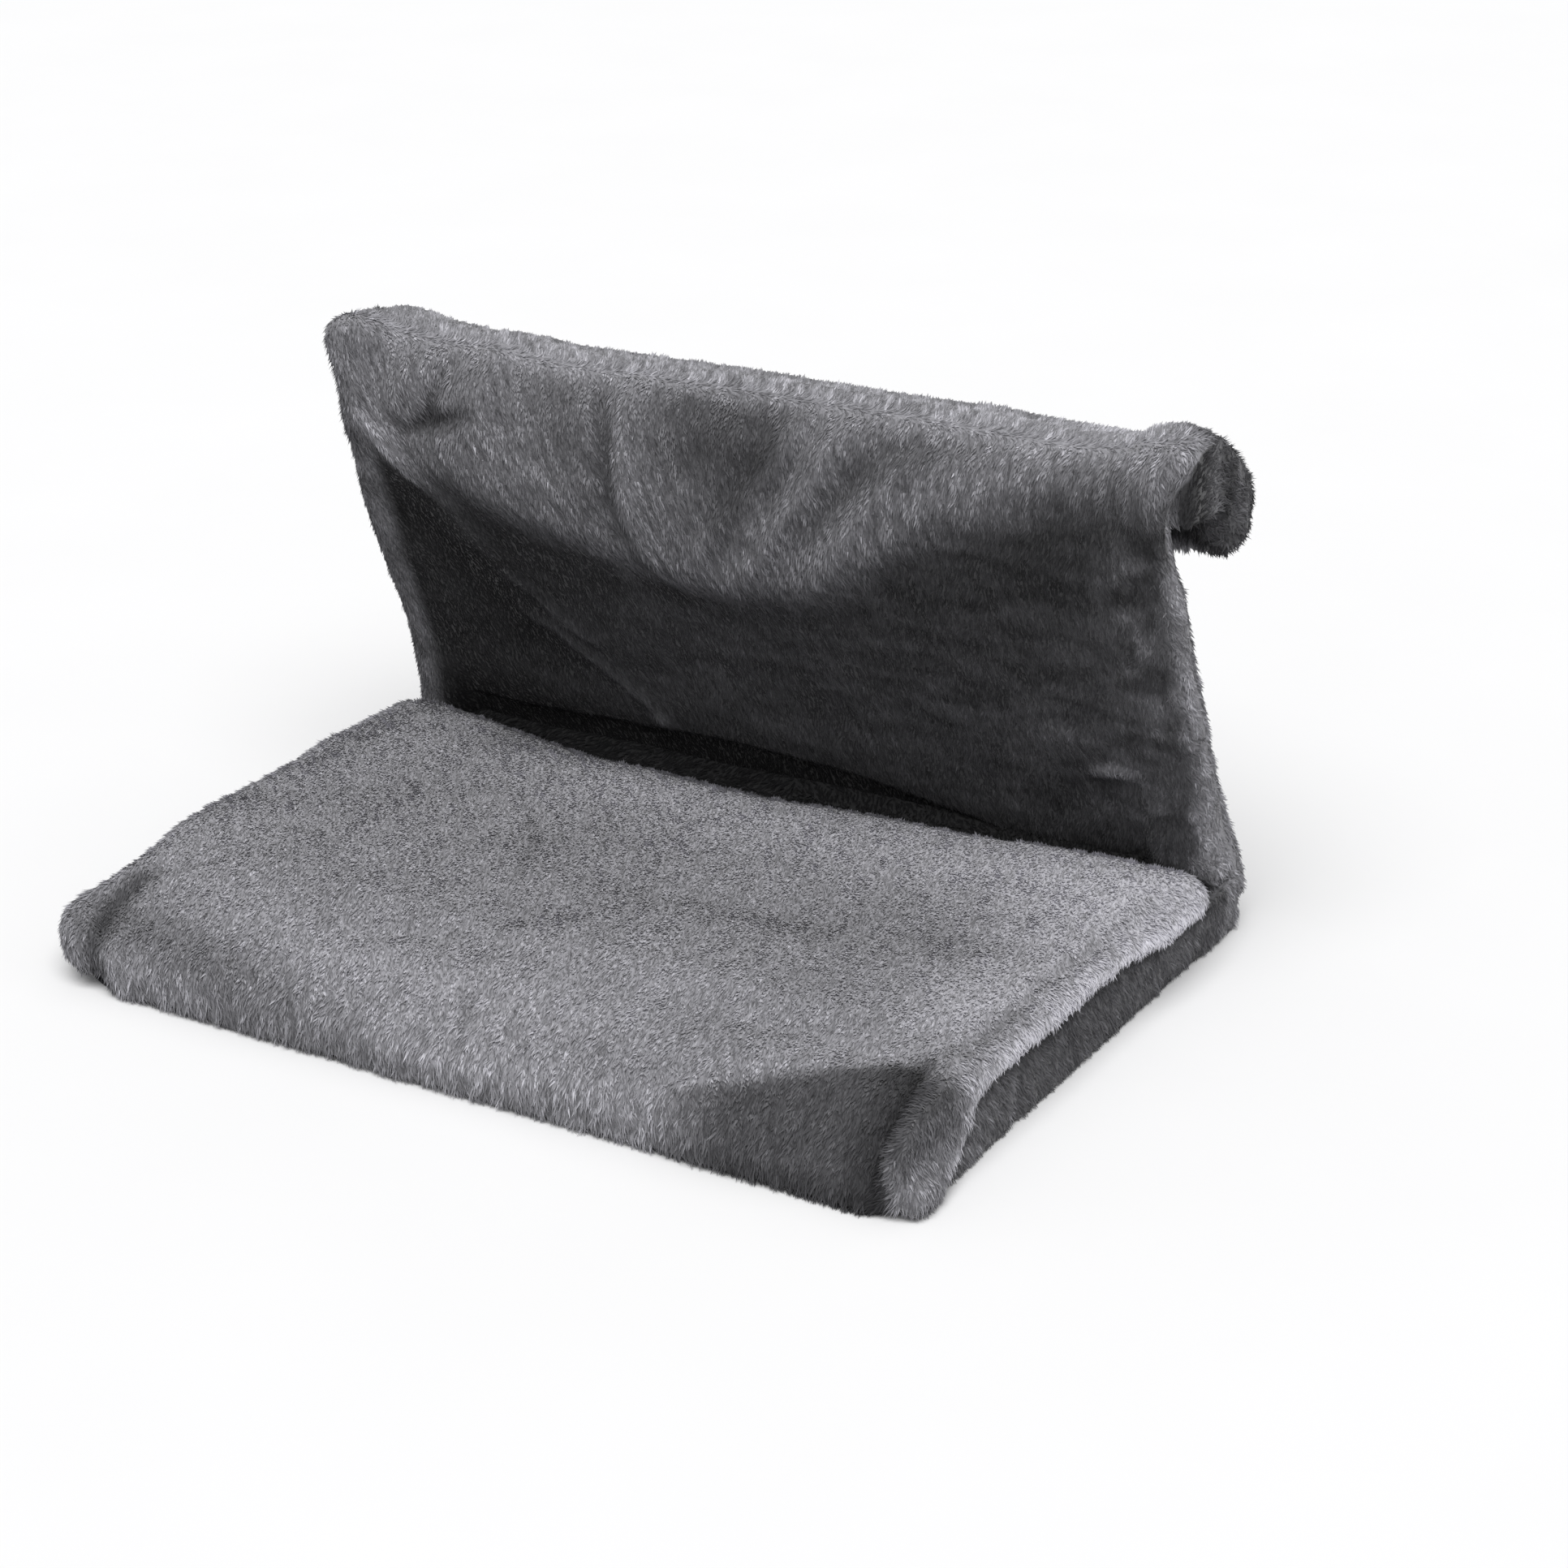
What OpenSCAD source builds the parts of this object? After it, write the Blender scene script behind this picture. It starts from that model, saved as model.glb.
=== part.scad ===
// Hanging bed for a cat: a padded seat on a bent steel tube frame, and a back
// frame whose cane-shaped top hooks over the upper edge of a radiator.
// +X is the width, +Y points to the radiator, +Z is up. Millimetres.

/* [Seat] */
// Overall width of the bed
width = 460; // [440:2:480]
// Depth of the seat from the front edge to the rear skirt
seat_d = 322.5; // [322.5:0.5:330]
// Height of the seat's top above its underside
seat_h = 43; // [42:0.5:48]
// Plan radius of the seat's front corners
corner_r = 42; // [36:1:50]
// Thickness of the plush cover's walls
skin = 3; // [2.5:0.1:3.2]

/* [Frame] */
// Outside diameter of the frame tube
tube_d = 10; // [9.6:0.1:10.4]
// Wall of the frame tube
tube_wall = 1; // [0.8:0.1:1.2]
// Distance of each side tube from the middle
arm_x = 211; // [208:0.5:212]
// Height of the fold pivot
pivot_z = 50; // [50:0.5:52]
// Diameter of the pivot bolts
bolt_d = 5; // [4.5:0.5:5.5]
// Lean of the lower back, from upright
lean_low = 22; // [20:1:23]
// Lean of the upper back, from upright
lean_top = 11.8; // [10:0.2:14]

/* [Hook] */
// Bend radius of the hook's crown
crown_r = 22; // [21:0.5:24]
// How far the hook's rear run falls below level, in degrees
hook_fall = 35; // [30:1:40]
// Straight run behind the crown
hook_run = 17; // [14:1:20]

/* [Zip] */
// Half the length of the zip's chain
zip_half = 186; // [160:2:190]
// Distance of the zip above the pivot, along the back
zip_s = 62; // [58:1:66]

/* [Hidden] */
$fn = 48;

hw = width / 2;
tr = tube_d / 2;
ti = tr - tube_wall;
rail_z = 13;
pivot_y = 303.9;
y_mid = seat_d / 2;

plush = "#85848a";
plush_dark = "#5d5c63";
cloth = "#3c3b40";
foam = "#d9d4c4";
steel = "#2b2b2d";
nylon = "#1e1e20";
zinc = "#b9bcc0";

// ---- the tube's path in the Y-Z plane: [kind, amount, radius] ----
// kind 0 is a straight of that length, kind 1 a clockwise bend of that angle
lean_bend = lean_low - lean_top;
low_len = 103;
up_len = 53;
PATH = [[0, low_len, 0], [1, lean_bend, 120], [0, up_len, 0],
        [1, 90 + lean_top + hook_fall, crown_r], [0, hook_run, 0],
        [1, 40, 16], [0, 3, 0]];
corner = 14;

function dir(a) = [cos(a), sin(a)];
function step(p, s) = s[0] == 0
    ? [p[0] + s[1] * cos(p[2]), p[1] + s[1] * sin(p[2]), p[2]]
    : let (c = [p[0], p[1]] + s[2] * dir(p[2] - 90),
           e = c + s[2] * dir(p[2] - s[1] + 90))
      [e[0], e[1], p[2] - s[1]];
function pose(i) = i == 0 ? [pivot_y, pivot_z, 90 + lean_low] : step(pose(i - 1), PATH[i - 1]);
// a point at a share t of segment i, moved sideways by o (minus is the front or outside)
function at(i, t, o) = let (q = step(pose(i), [PATH[i][0], PATH[i][1] * t, PATH[i][2]]))
    [q[0] + o * cos(q[2] - 90), q[1] + o * sin(q[2] - 90)];

// steps used along each segment when it bounds a sheet
STEPS = [1, 4, 1, 18, 1, 8];
function line(i0, i1, o, t0 = 0) = [for (i = [i0:i1]) for (k = [(i == i0 ? 0 : 1):STEPS[i]])
    at(i, i == i0 ? t0 + (1 - t0) * k / STEPS[i] : k / STEPS[i], o)];
function flip(v) = [for (i = [len(v) - 1:-1:0]) v[i]];

tip = pose(7);
bar_yz = [tip[0], tip[1]] + corner * dir(tip[2]);
front_o = 10.5;
lining_o = 7.5;
cover_s = 10 / low_len;

module placed() translate([0, -y_mid, 0]) children();
// a Y-Z outline pushed along X from x0 to x1
module yz(x0, x1) translate([x0, 0, 0]) rotate([90, 0, 90])
    linear_extrude(height = x1 - x0) children();
module both() { children(); mirror([1, 0, 0]) children(); }

// ---- seat ----
module plan(m, y1) {
    r = corner_r - m;
    union() {
        translate([-(hw - m), m + r]) square([2 * (hw - m), y1 - m - r]);
        translate([-(hw - m) + r, m]) square([2 * (hw - m - r), r + 1]);
        for (s = [-1, 1]) translate([s * (hw - m - r), m + r]) circle(r = r);
    }
}
// side view of the pad: the front rises in a slope
function pad_side(m, z0, y1) = [[m, z0], [y1, z0], [y1, seat_h - m - 3],
    [y1 - 3, seat_h - m], [50 + m, seat_h - m], [m + 16, 27 - m], [m + 2, 16 - m / 2], [m, 12 - m / 2]];
// the seam between top panel and side band, seen from the side
SEAM = [[-1, 9], [30, 9], [95, 25], [330, 25]];

module block(m, z0, y1) intersection() {
    translate([0, 0, z0]) linear_extrude(height = seat_h) plan(m, y1);
    yz(-hw - 1, hw + 1) polygon(pad_side(m, z0, y1));
}
module shell(y1) difference() {
    block(0, 3, y1);
    block(skin, 2, y1 - skin);
}
seat_y1 = 276;

module seat_underside() color(cloth) placed()
    linear_extrude(height = 3) plan(0, seat_d);

module seat_top_panel() color(plush) placed() {
    intersection() {
        shell(seat_y1);
        yz(-hw - 1, hw + 1) polygon(concat(SEAM, [[330, 60], [-1, 60]]));
    }
}
module seat_side_band() color(plush_dark) placed() difference() {
    intersection() {
        shell(seat_y1);
        yz(-hw - 1, hw + 1) polygon(concat(SEAM, [[330, 0], [-1, 0]]));
    }
    // open at the rear, where the rails leave for the hinges
    translate([-(hw - skin), seat_y1 - skin - 1, 2]) cube([2 * (hw - skin), 10, 23]);
}
module seat_pad() color(foam) placed() intersection() {
    translate([0, 0, 20.3]) linear_extrude(height = 30) plan(skin + 3, 271.5);
    yz(-hw, hw) polygon([[36, 20.3], [271.5, 20.3], [271.5, seat_h - skin - 3],
        [269, seat_h - skin - 0.4], [56, seat_h - skin - 0.4]]);
}
module seat_sling() color(cloth) placed()
    translate([0, 0, rail_z + tr + 0.2]) linear_extrude(height = 1.2)
    translate([-(arm_x + 2), 30]) square([2 * (arm_x + 2), 222]);

module rail(r, e) {
    cr = 30;
    y0 = 14;
    both() {
        translate([arm_x, y0 + cr, rail_z]) rotate([-90, 0, 0])
            cylinder(r = r, h = 281.5 - y0 - cr + e);
        translate([arm_x - cr, y0 + cr, rail_z]) rotate([0, 0, -90])
            rotate_extrude(angle = 90) translate([cr, 0]) circle(r = r);
    }
    translate([-(arm_x - cr), y0, rail_z]) rotate([0, 90, 0])
        cylinder(r = r, h = 2 * (arm_x - cr));
}
module seat_bow() color(steel) placed() difference() {
    rail(tr, 0);
    rail(ti, 1);
    both() translate([arm_x, 272, 0]) cylinder(d = 3, h = rail_z);
}
bar_y = 291;
module seat_rear_bar() color(steel) placed() difference() {
    translate([-(arm_x + 1.5), bar_y, rail_z]) rotate([0, 90, 0]) cylinder(r = tr, h = 2 * arm_x + 3);
    translate([-(arm_x + 3), bar_y, rail_z]) rotate([0, 90, 0]) cylinder(r = ti, h = 2 * arm_x + 6);
    both() translate([arm_x - 4, bar_y, 0]) cylinder(d = 3, h = rail_z);
}

// ---- hinge: a moulded bracket with two ears, and a rod end between them ----
ear_gap = 12;
ear_t = 4;
rod_w = 10;
washer_t = 0.95;
base_top = 22;
module bracket() {
    difference() {
        union() {
            translate([arm_x, 262, rail_z]) rotate([-90, 0, 0]) cylinder(r = 7, h = 24);
            yz(arm_x - 10, arm_x + 10)
                polygon([[284, 4], [302, 4], [302, base_top - 2], [300, base_top], [284, base_top]]);
            for (x = [arm_x - ear_gap / 2 - ear_t, arm_x + ear_gap / 2]) {
                yz(x, x + ear_t) polygon([[285, 5], [312, 5], [312.8, pivot_z], [295, pivot_z],
                    [295, 32], [285, base_top]]);
                translate([x, pivot_y, pivot_z]) rotate([0, 90, 0]) cylinder(r = 9, h = ear_t);
            }
            // stop face for the rod end's heel
            yz(arm_x - 10, arm_x + 10) intersection() {
                polygon([[290, 20], [312, 20], [312, 42], [290, 42]]);
                translate([pivot_y, pivot_z]) rotate(lean_low)
                    translate([-30, -40]) square([30 - 6.1, 31]);
                polygon([[293, 20], [310, 20], [310, 42], [297, 42]]);
            }
        }
        translate([arm_x, 261, rail_z]) rotate([-90, 0, 0]) cylinder(r = tr, h = 20.5);
        translate([arm_x - 30, bar_y, rail_z]) rotate([0, 90, 0]) cylinder(r = tr, h = 31.5);
        translate([arm_x - 20, pivot_y, pivot_z]) rotate([0, 90, 0]) cylinder(d = bolt_d, h = 40);
        translate([arm_x, 272, 0]) cylinder(d = 3, h = 12);
        translate([arm_x - 4, bar_y, 0]) cylinder(d = 3, h = 12);
        translate([arm_x, 272, 3]) cylinder(d = 6, h = 3.5);
        translate([arm_x - 4, bar_y, 3]) cylinder(d = 6, h = 3);
    }
}
module hinge_bracket_right() color(nylon) placed() bracket();
module hinge_bracket_left() color(nylon) placed() mirror([1, 0, 0]) bracket();

module screw(x, y, z) translate([x, y, z]) {
    translate([0, 0, -1.8]) cylinder(d = 5.6, h = 1.8);
    cylinder(d = 3, h = 6.3);
}
module bracket_screws() color(zinc) placed() both() {
    screw(arm_x, 272, 6.5);
    screw(arm_x - 4, bar_y, 6);
}
module ring(x, h, ro, ri) translate([x, pivot_y, pivot_z]) rotate([0, 90, 0]) difference() {
    cylinder(r = ro, h = h);
    translate([0, 0, -1]) cylinder(r = ri, h = h + 2);
}
module pivot_bolts() color(zinc) placed() both() {
    translate([arm_x + 11, pivot_y, pivot_z]) rotate([0, 90, 0]) cylinder(d = 9, h = 3.2);
    translate([arm_x - 16, pivot_y, pivot_z]) rotate([0, 90, 0]) cylinder(d = bolt_d, h = 27.1);
}
module pivot_washers() color(zinc) placed() both() {
    ring(arm_x + 10, 1, 5.5, bolt_d / 2);
    ring(arm_x - 11, 1, 5.5, bolt_d / 2);
}
module friction_washers() color("#e8e6de") placed() both() {
    ring(arm_x - ear_gap / 2, washer_t, 6, bolt_d / 2);
    ring(arm_x + ear_gap / 2 - washer_t, washer_t, 6, bolt_d / 2);
}
module pivot_nuts() color(zinc) placed() both() difference() {
    translate([arm_x - 15.5, pivot_y, pivot_z]) rotate([0, 90, 0]) cylinder(r = 4.6, h = 4.5, $fn = 6);
    translate([arm_x - 17, pivot_y, pivot_z]) rotate([0, 90, 0]) cylinder(d = bolt_d, h = 8);
}

// ---- rear of the seat cover ----
module rear_skirt() color(plush_dark) placed() {
    difference() {
        translate([-hw, seat_y1, 3]) cube([2 * hw, seat_d - seat_y1, 35]);
        translate([-(hw - skin), seat_y1 - 1, 2]) cube([2 * (hw - skin), seat_d - seat_y1 + 1 - 2.6, 37]);
    }
}
// both flaps stop short of the rod ends, whose tails swing out as the back folds
module rear_flap() color(plush_dark) placed()
    yz(-(arm_x - 12), arm_x - 12) polygon([[seat_d - 3, 38], [seat_d - 1.4, 38], [seat_d - 1.8, 46],
        [seat_d - 4.5, 56], [seat_d - 6, 56], [seat_d - 3.4, 46]]);
module valley_flap() color(plush_dark) placed()
    yz(-(arm_x - 12), arm_x - 12) polygon([[276.1, 27], [293, 27], [293, 38], [291.2, 38],
        [291.2, 29], [276.1, 29]]);

// ---- back frame ----
// bends are a hair fatter than the straights, which run on a little into them
module arm_path(r, open) {
    for (i = [0:6]) {
        p = pose(i);
        s = PATH[i];
        if (s[0] == 0) {
            d = i == 0 ? 18 - open : -0.5;
            translate([arm_x, p[0] + d * cos(p[2]), p[1] + d * sin(p[2])])
                rotate([p[2] - 90, 0, 0]) cylinder(r = r, h = s[1] - d + 0.5);
        } else {
            c = [p[0], p[1]] + s[2] * dir(p[2] - 90);
            translate([arm_x, c[0], c[1]]) rotate([90, 0, 90]) rotate([0, 0, p[2] + 90 - s[1]])
                rotate_extrude(angle = s[1]) translate([s[2], 0]) circle(r = r + 0.03);
        }
    }
    translate([arm_x - corner, tip[0], tip[1]]) rotate([tip[2], 0, 0])
        rotate_extrude(angle = 90) translate([corner, 0]) circle(r = r + 0.03);
}
module bow(r, open) {
    both() arm_path(r, open, $fn = 32);
    translate([-(arm_x - corner + 0.5), bar_yz[0], bar_yz[1]]) rotate([0, 90, 0])
        cylinder(r = r, h = 2 * (arm_x - corner + 0.5), $fn = 32);
}
module pin_at(d, x, h) translate([x, pivot_y + 26 * cos(90 + lean_low), pivot_z + 26 * sin(90 + lean_low)])
    rotate([0, 90, 0]) cylinder(d = d, h = h);

module back_bow() color(steel) placed() difference() {
    bow(tr, 0);
    bow(ti, 2);
    both() pin_at(3, arm_x - 8, 16);
}
bar_s = 40;
module back_cross_bar() color(steel) placed() difference() {
    p = [pivot_y, pivot_z] + bar_s * dir(90 + lean_low);
    translate([-arm_x, p[0], p[1]]) rotate([0, 90, 0]) cylinder(r = tr - 0.5, h = 2 * arm_x);
    translate([-arm_x - 1, p[0], p[1]]) rotate([0, 90, 0]) cylinder(r = tr - 1.5, h = 2 * arm_x + 2);
    both() translate([arm_x, pivot_y, pivot_z]) rotate([lean_low, 0, 0])
        translate([0, 0, 10]) cylinder(r = tr, h = 60);
}
module rod_end() difference() {
    union() {
        translate([arm_x - rod_w / 2, pivot_y, pivot_z]) rotate([lean_low, 0, 0])
            translate([0, -6, -14]) cube([rod_w, 12, 32]);
        translate([arm_x, pivot_y, pivot_z]) rotate([lean_low, 0, 0])
            translate([0, 0, 17]) cylinder(r = ti, h = 19);
    }
    translate([arm_x - 20, pivot_y, pivot_z]) rotate([0, 90, 0]) cylinder(d = bolt_d + 0.1, h = 40);
    pin_at(3, arm_x - 8, 16);
}
module rod_end_right() color(nylon) placed() rod_end();
module rod_end_left() color(nylon) placed() mirror([1, 0, 0]) rod_end();
module rod_end_pins() color(zinc) placed() both() pin_at(3, arm_x - 4.8, 9.6);

// ---- back cover ----
rear_o = 10.5;
module back_front_panel() color(plush) placed() yz(-hw, hw)
    polygon(concat(line(0, 2, -front_o, cover_s), flip(line(0, 2, -front_o + skin, cover_s))));

// the rear panel is full low down and thins towards the hook
function rear_line(o0, o1) = [at(0, cover_s, o0), at(0, 1, o0), at(1, 0.5, o0 - (o0 - o1) * 0.2),
    at(1, 1, o0 - (o0 - o1) * 0.4), at(2, 1, o1)];
module slot_box(s0, s1, o0, o1, h) yz(-h, h)
    polygon([at(0, s0 / low_len, o0), at(0, s1 / low_len, o0), at(0, s1 / low_len, o1), at(0, s0 / low_len, o1)]);
module back_rear_panel() color(plush_dark) placed() difference() {
    yz(-hw, hw) polygon(concat(rear_line(rear_o, lining_o), flip(rear_line(rear_o - skin, lining_o - 2))));
    slot_box(zip_s - 6, zip_s + 6, rear_o - skin - 1, rear_o + 1, zip_half + 6);
}
module side_panel() yz(hw - skin, hw)
    polygon(concat(line(0, 2, -front_o + skin, cover_s), flip(rear_line(rear_o - skin, lining_o - 2))));
module back_side_right() color(plush) placed() side_panel();
module back_side_left() color(plush) placed() mirror([1, 0, 0]) side_panel();

module back_wadding() color(foam) placed() yz(-(arm_x - 8), arm_x - 8)
    polygon(concat(line(0, 2, -front_o + skin + 0.2, 50 / low_len), flip(line(0, 2, 1.5, 50 / low_len))));

// the hook's skins run on from the panels and meet round the hook's bar
end_a = tip[2];
module hook_cover() color(plush) placed() yz(-hw, hw)
    polygon(concat(line(3, 5, -front_o), cap(front_o, 0), flip(cap(front_o - skin, 0)),
        flip(line(3, 5, -front_o + skin))));
// half circle round the bar, from the outside of the hook to its inside
function cap(r, o) = [for (k = [0:12]) bar_yz + r * dir(end_a + 90 - k * 15)];
module hook_lining() color(plush_dark) placed() yz(-hw, hw)
    polygon(concat(line(3, 5, lining_o), [bar_yz + front_o * dir(end_a - 90)],
        [bar_yz + (front_o - skin) * dir(end_a - 90)], flip(line(3, 5, lining_o - 2))));
module hook_side() yz(hw - skin, hw)
    polygon(concat(line(3, 5, -front_o + skin), cap(front_o - skin, 0), flip(line(3, 5, lining_o - 2))));
module hook_end_right() color(plush_dark) placed() hook_side();
module hook_end_left() color(plush_dark) placed() mirror([1, 0, 0]) hook_side();
module hook_padding() color(foam) placed() difference() {
    translate([-(arm_x - corner - 6), bar_yz[0], bar_yz[1]]) rotate([0, 90, 0])
        cylinder(r = 7, h = 2 * (arm_x - corner - 6));
    translate([-(arm_x - corner), bar_yz[0], bar_yz[1]]) rotate([0, 90, 0])
        cylinder(r = tr, h = 2 * (arm_x - corner));
}

// ---- zip across the lower rear of the back ----
module on_back(x, s, o) placed() translate([x, pivot_y, pivot_z]) rotate([lean_low, 0, 0])
    translate([0, o, s]) children();
module zip_tape() color("#2a2a2d") for (s = [zip_s + 0.6, zip_s - 12.6])
    on_back(-(zip_half + 4), s, 6.5) cube([2 * zip_half + 8, 0.8, 12]);
module zip_chain() color("#3a3a3e") for (s = [-1.3, 1.3])
    on_back(-zip_half, zip_s + s, 8.5) rotate([0, 90, 0]) cylinder(r = 1.2, h = 2 * zip_half);
module zip_stops() color(zinc) for (x = [-zip_half - 4, zip_half + 0.2])
    on_back(x, zip_s - 2.8, 7.3) cube([3.8, 2.4, 5.6]);
slider_x = zip_half - 6;
module zip_slider() color(zinc) {
    on_back(slider_x - 5, zip_s - 4.4, 10.0) cube([10, 1.2, 8.8]);
    for (s = [-4.4, 3.2]) on_back(slider_x - 5, zip_s + s, 7.7) cube([10, 2.3, 1.2]);
    for (s = [-4, 2.6]) on_back(slider_x - 2, zip_s + s, 11.2) cube([4, 3.4, 1.4]);
    on_back(slider_x, zip_s - 2.6, 13.2) cylinder(d = 1.5, h = 5.2);
}
module zip_pull() color(zinc) difference() {
    union() {
        on_back(slider_x - 22, zip_s - 2.3, 12.5) cube([22, 1.4, 4.6]);
        on_back(slider_x, zip_s - 2.3, 13.2) cylinder(d = 3, h = 4.6);
    }
    on_back(slider_x, zip_s - 5, 13.2) cylinder(d = 1.6, h = 10);
    on_back(slider_x - 17, zip_s, 11) rotate([-90, 0, 0]) cylinder(d = 2.4, h = 5);
}

seat_bow();
seat_rear_bar();
hinge_bracket_left();
hinge_bracket_right();
bracket_screws();
pivot_bolts();
pivot_washers();
friction_washers();
pivot_nuts();
seat_sling();
seat_pad();
seat_top_panel();
seat_side_band();
seat_underside();
rear_skirt();
rear_flap();
valley_flap();
back_bow();
back_cross_bar();
rod_end_left();
rod_end_right();
rod_end_pins();
back_wadding();
hook_padding();
back_front_panel();
back_rear_panel();
back_side_left();
back_side_right();
hook_cover();
hook_lining();
hook_end_left();
hook_end_right();
zip_tape();
zip_chain();
zip_stops();
zip_slider();
zip_pull();
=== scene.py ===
"""Looks of the cat radiator hammock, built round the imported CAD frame.

Lengths in the tables are millimetres. Y counts from the seat's front edge there, and
metres() moves it to the row frame. The back is drawn flat, as width by length along the
frame's tube by thickness, and on_back() bends it round the tube's path.
"""

import math

import bpy
import numpy as np
from mathutils import Matrix, Vector


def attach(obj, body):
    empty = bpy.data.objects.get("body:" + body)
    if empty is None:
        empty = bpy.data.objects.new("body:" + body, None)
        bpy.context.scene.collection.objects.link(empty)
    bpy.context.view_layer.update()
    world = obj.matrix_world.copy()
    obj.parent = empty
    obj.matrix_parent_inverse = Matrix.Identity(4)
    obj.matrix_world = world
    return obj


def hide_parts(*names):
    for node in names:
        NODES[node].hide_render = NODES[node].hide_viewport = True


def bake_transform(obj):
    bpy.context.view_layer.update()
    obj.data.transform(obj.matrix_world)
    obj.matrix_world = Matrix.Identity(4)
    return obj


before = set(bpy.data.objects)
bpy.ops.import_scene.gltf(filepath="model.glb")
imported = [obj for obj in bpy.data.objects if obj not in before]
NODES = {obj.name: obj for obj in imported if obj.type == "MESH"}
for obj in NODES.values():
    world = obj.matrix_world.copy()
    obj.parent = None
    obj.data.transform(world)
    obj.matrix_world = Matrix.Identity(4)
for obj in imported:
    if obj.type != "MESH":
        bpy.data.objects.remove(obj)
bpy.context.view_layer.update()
Y_MID = 161.25
scene = bpy.context.scene


def metres(p):
    """Millimetres counted from the front edge, as metres in the row frame."""
    q = np.array(p, float)
    q[..., 1] -= Y_MID
    return q * 0.001


def millimetres(q):
    p = np.array(q, float) * 1000.0
    p[..., 1] += Y_MID
    return p


# ------------------------------------------------------------------ camera
CAM_YAW, CAM_PITCH, CAM_ROLL = (math.radians(a) for a in (31.94, 23.01, -1.21))
CAM_AT = (0.7923, -1.14425, 0.6716)


def add_camera():
    fwd = Vector((-math.sin(CAM_YAW) * math.cos(CAM_PITCH), math.cos(CAM_YAW) * math.cos(CAM_PITCH), -math.sin(CAM_PITCH)))
    right = Vector((math.cos(CAM_YAW), math.sin(CAM_YAW), 0.0))
    up = right.cross(fwd)
    c, s = math.cos(CAM_ROLL), math.sin(CAM_ROLL)
    r, u = c * right + s * up, -s * right + c * up
    cam = bpy.data.objects.new("camera", bpy.data.cameras.new("camera"))
    cam.data.sensor_width = 36.0
    cam.data.lens = 76.36
    cam.data.clip_start, cam.data.clip_end = 0.05, 60.0
    m = Matrix.Identity(4)
    for i in range(3):
        m[i][0], m[i][1], m[i][2], m[i][3] = r[i], u[i], -fwd[i], CAM_AT[i]
    cam.matrix_world = m
    scene.collection.objects.link(cam)
    scene.camera = cam


add_camera()


# ------------------------------------------------------------------ numbers
def noise(p, size, seed=1):
    """Smooth value noise from -1 to 1 at the points p, with cells of that size."""
    q = np.asarray(p, float).T / (np.ones(3) * size)[:, None] + 1000.37
    f = np.floor(q)
    t = q - f
    t = t * t * (3 - 2 * t)
    f = f.astype(np.int64).astype(np.uint32)
    mul = np.array([73856093, 19349663, 83492791], np.uint32)[:, None]
    grid = (f * mul, (f + np.uint32(1)) * mul)
    key = np.uint32(seed * 2654435761 & 0xFFFFFFFF)
    out = np.zeros(f.shape[1])
    for a in (0, 1):
        wa = t[0] if a else 1 - t[0]
        ha = grid[a][0] ^ key
        for b in (0, 1):
            wb = wa * (t[1] if b else 1 - t[1])
            hb = ha ^ grid[b][1]
            for c in (0, 1):
                h = hb ^ grid[c][2]
                h = (h ^ (h >> 16)) * np.uint32(0x45D9F3B)
                h = (h ^ (h >> 16)) * np.uint32(0x45D9F3B)
                h ^= h >> 16
                out += wb * (t[2] if c else 1 - t[2]) * (h / 2147483648.0 - 1.0)
    return out


def smooth(x, a, b):
    t = np.clip((np.asarray(x, float) - a) / (b - a), 0, 1)
    return t * t * (3 - 2 * t)


def bump(x, centre, half):
    """1 at centre, falling smoothly to 0 at half away."""
    t = np.clip(np.abs(np.asarray(x, float) - centre) / half, 0, 1)
    return (1 - t * t) ** 2


def table(x, xs, ys):
    """Smooth curve through a table, without overshoot between its points."""
    xs, ys = np.asarray(xs, float), np.asarray(ys, float)
    x = np.clip(x, xs[0], xs[-1])
    i = np.clip(np.searchsorted(xs, x) - 1, 0, len(xs) - 2)
    h = xs[i + 1] - xs[i]
    t = (x - xs[i]) / h
    d = np.diff(ys) / np.diff(xs)
    m = np.concatenate([[d[0]], np.where(d[:-1] * d[1:] > 0, 2 * d[:-1] * d[1:] / np.where(d[:-1] + d[1:] == 0, 1, d[:-1] + d[1:]), 0), [d[-1]]])
    return ((2 * t**3 - 3 * t**2 + 1) * ys[i] + (t**3 - 2 * t**2 + t) * h * m[i]
            + (-2 * t**3 + 3 * t**2) * ys[i + 1] + (t**3 - t**2) * h * m[i + 1])


def polyline_distance(a, b, pts):
    """Distance of the points (a, b) from a polyline, and how far along it the nearest place is, from 0 to 1."""
    pts = np.asarray(pts, float)
    best = np.full(len(a), 1e9)
    along = np.zeros(len(a))
    ends = np.concatenate([[0], np.cumsum(np.linalg.norm(np.diff(pts, axis=0), axis=1))])
    for k in range(len(pts) - 1):
        d = pts[k + 1] - pts[k]
        t = np.clip(((a - pts[k][0]) * d[0] + (b - pts[k][1]) * d[1]) / (d @ d), 0, 1)
        r = np.hypot(a - pts[k][0] - t * d[0], b - pts[k][1] - t * d[1])
        closer = r < best
        best = np.where(closer, r, best)
        along = np.where(closer, (ends[k] + t * (ends[k + 1] - ends[k])) / ends[-1], along)
    return best, along


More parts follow.
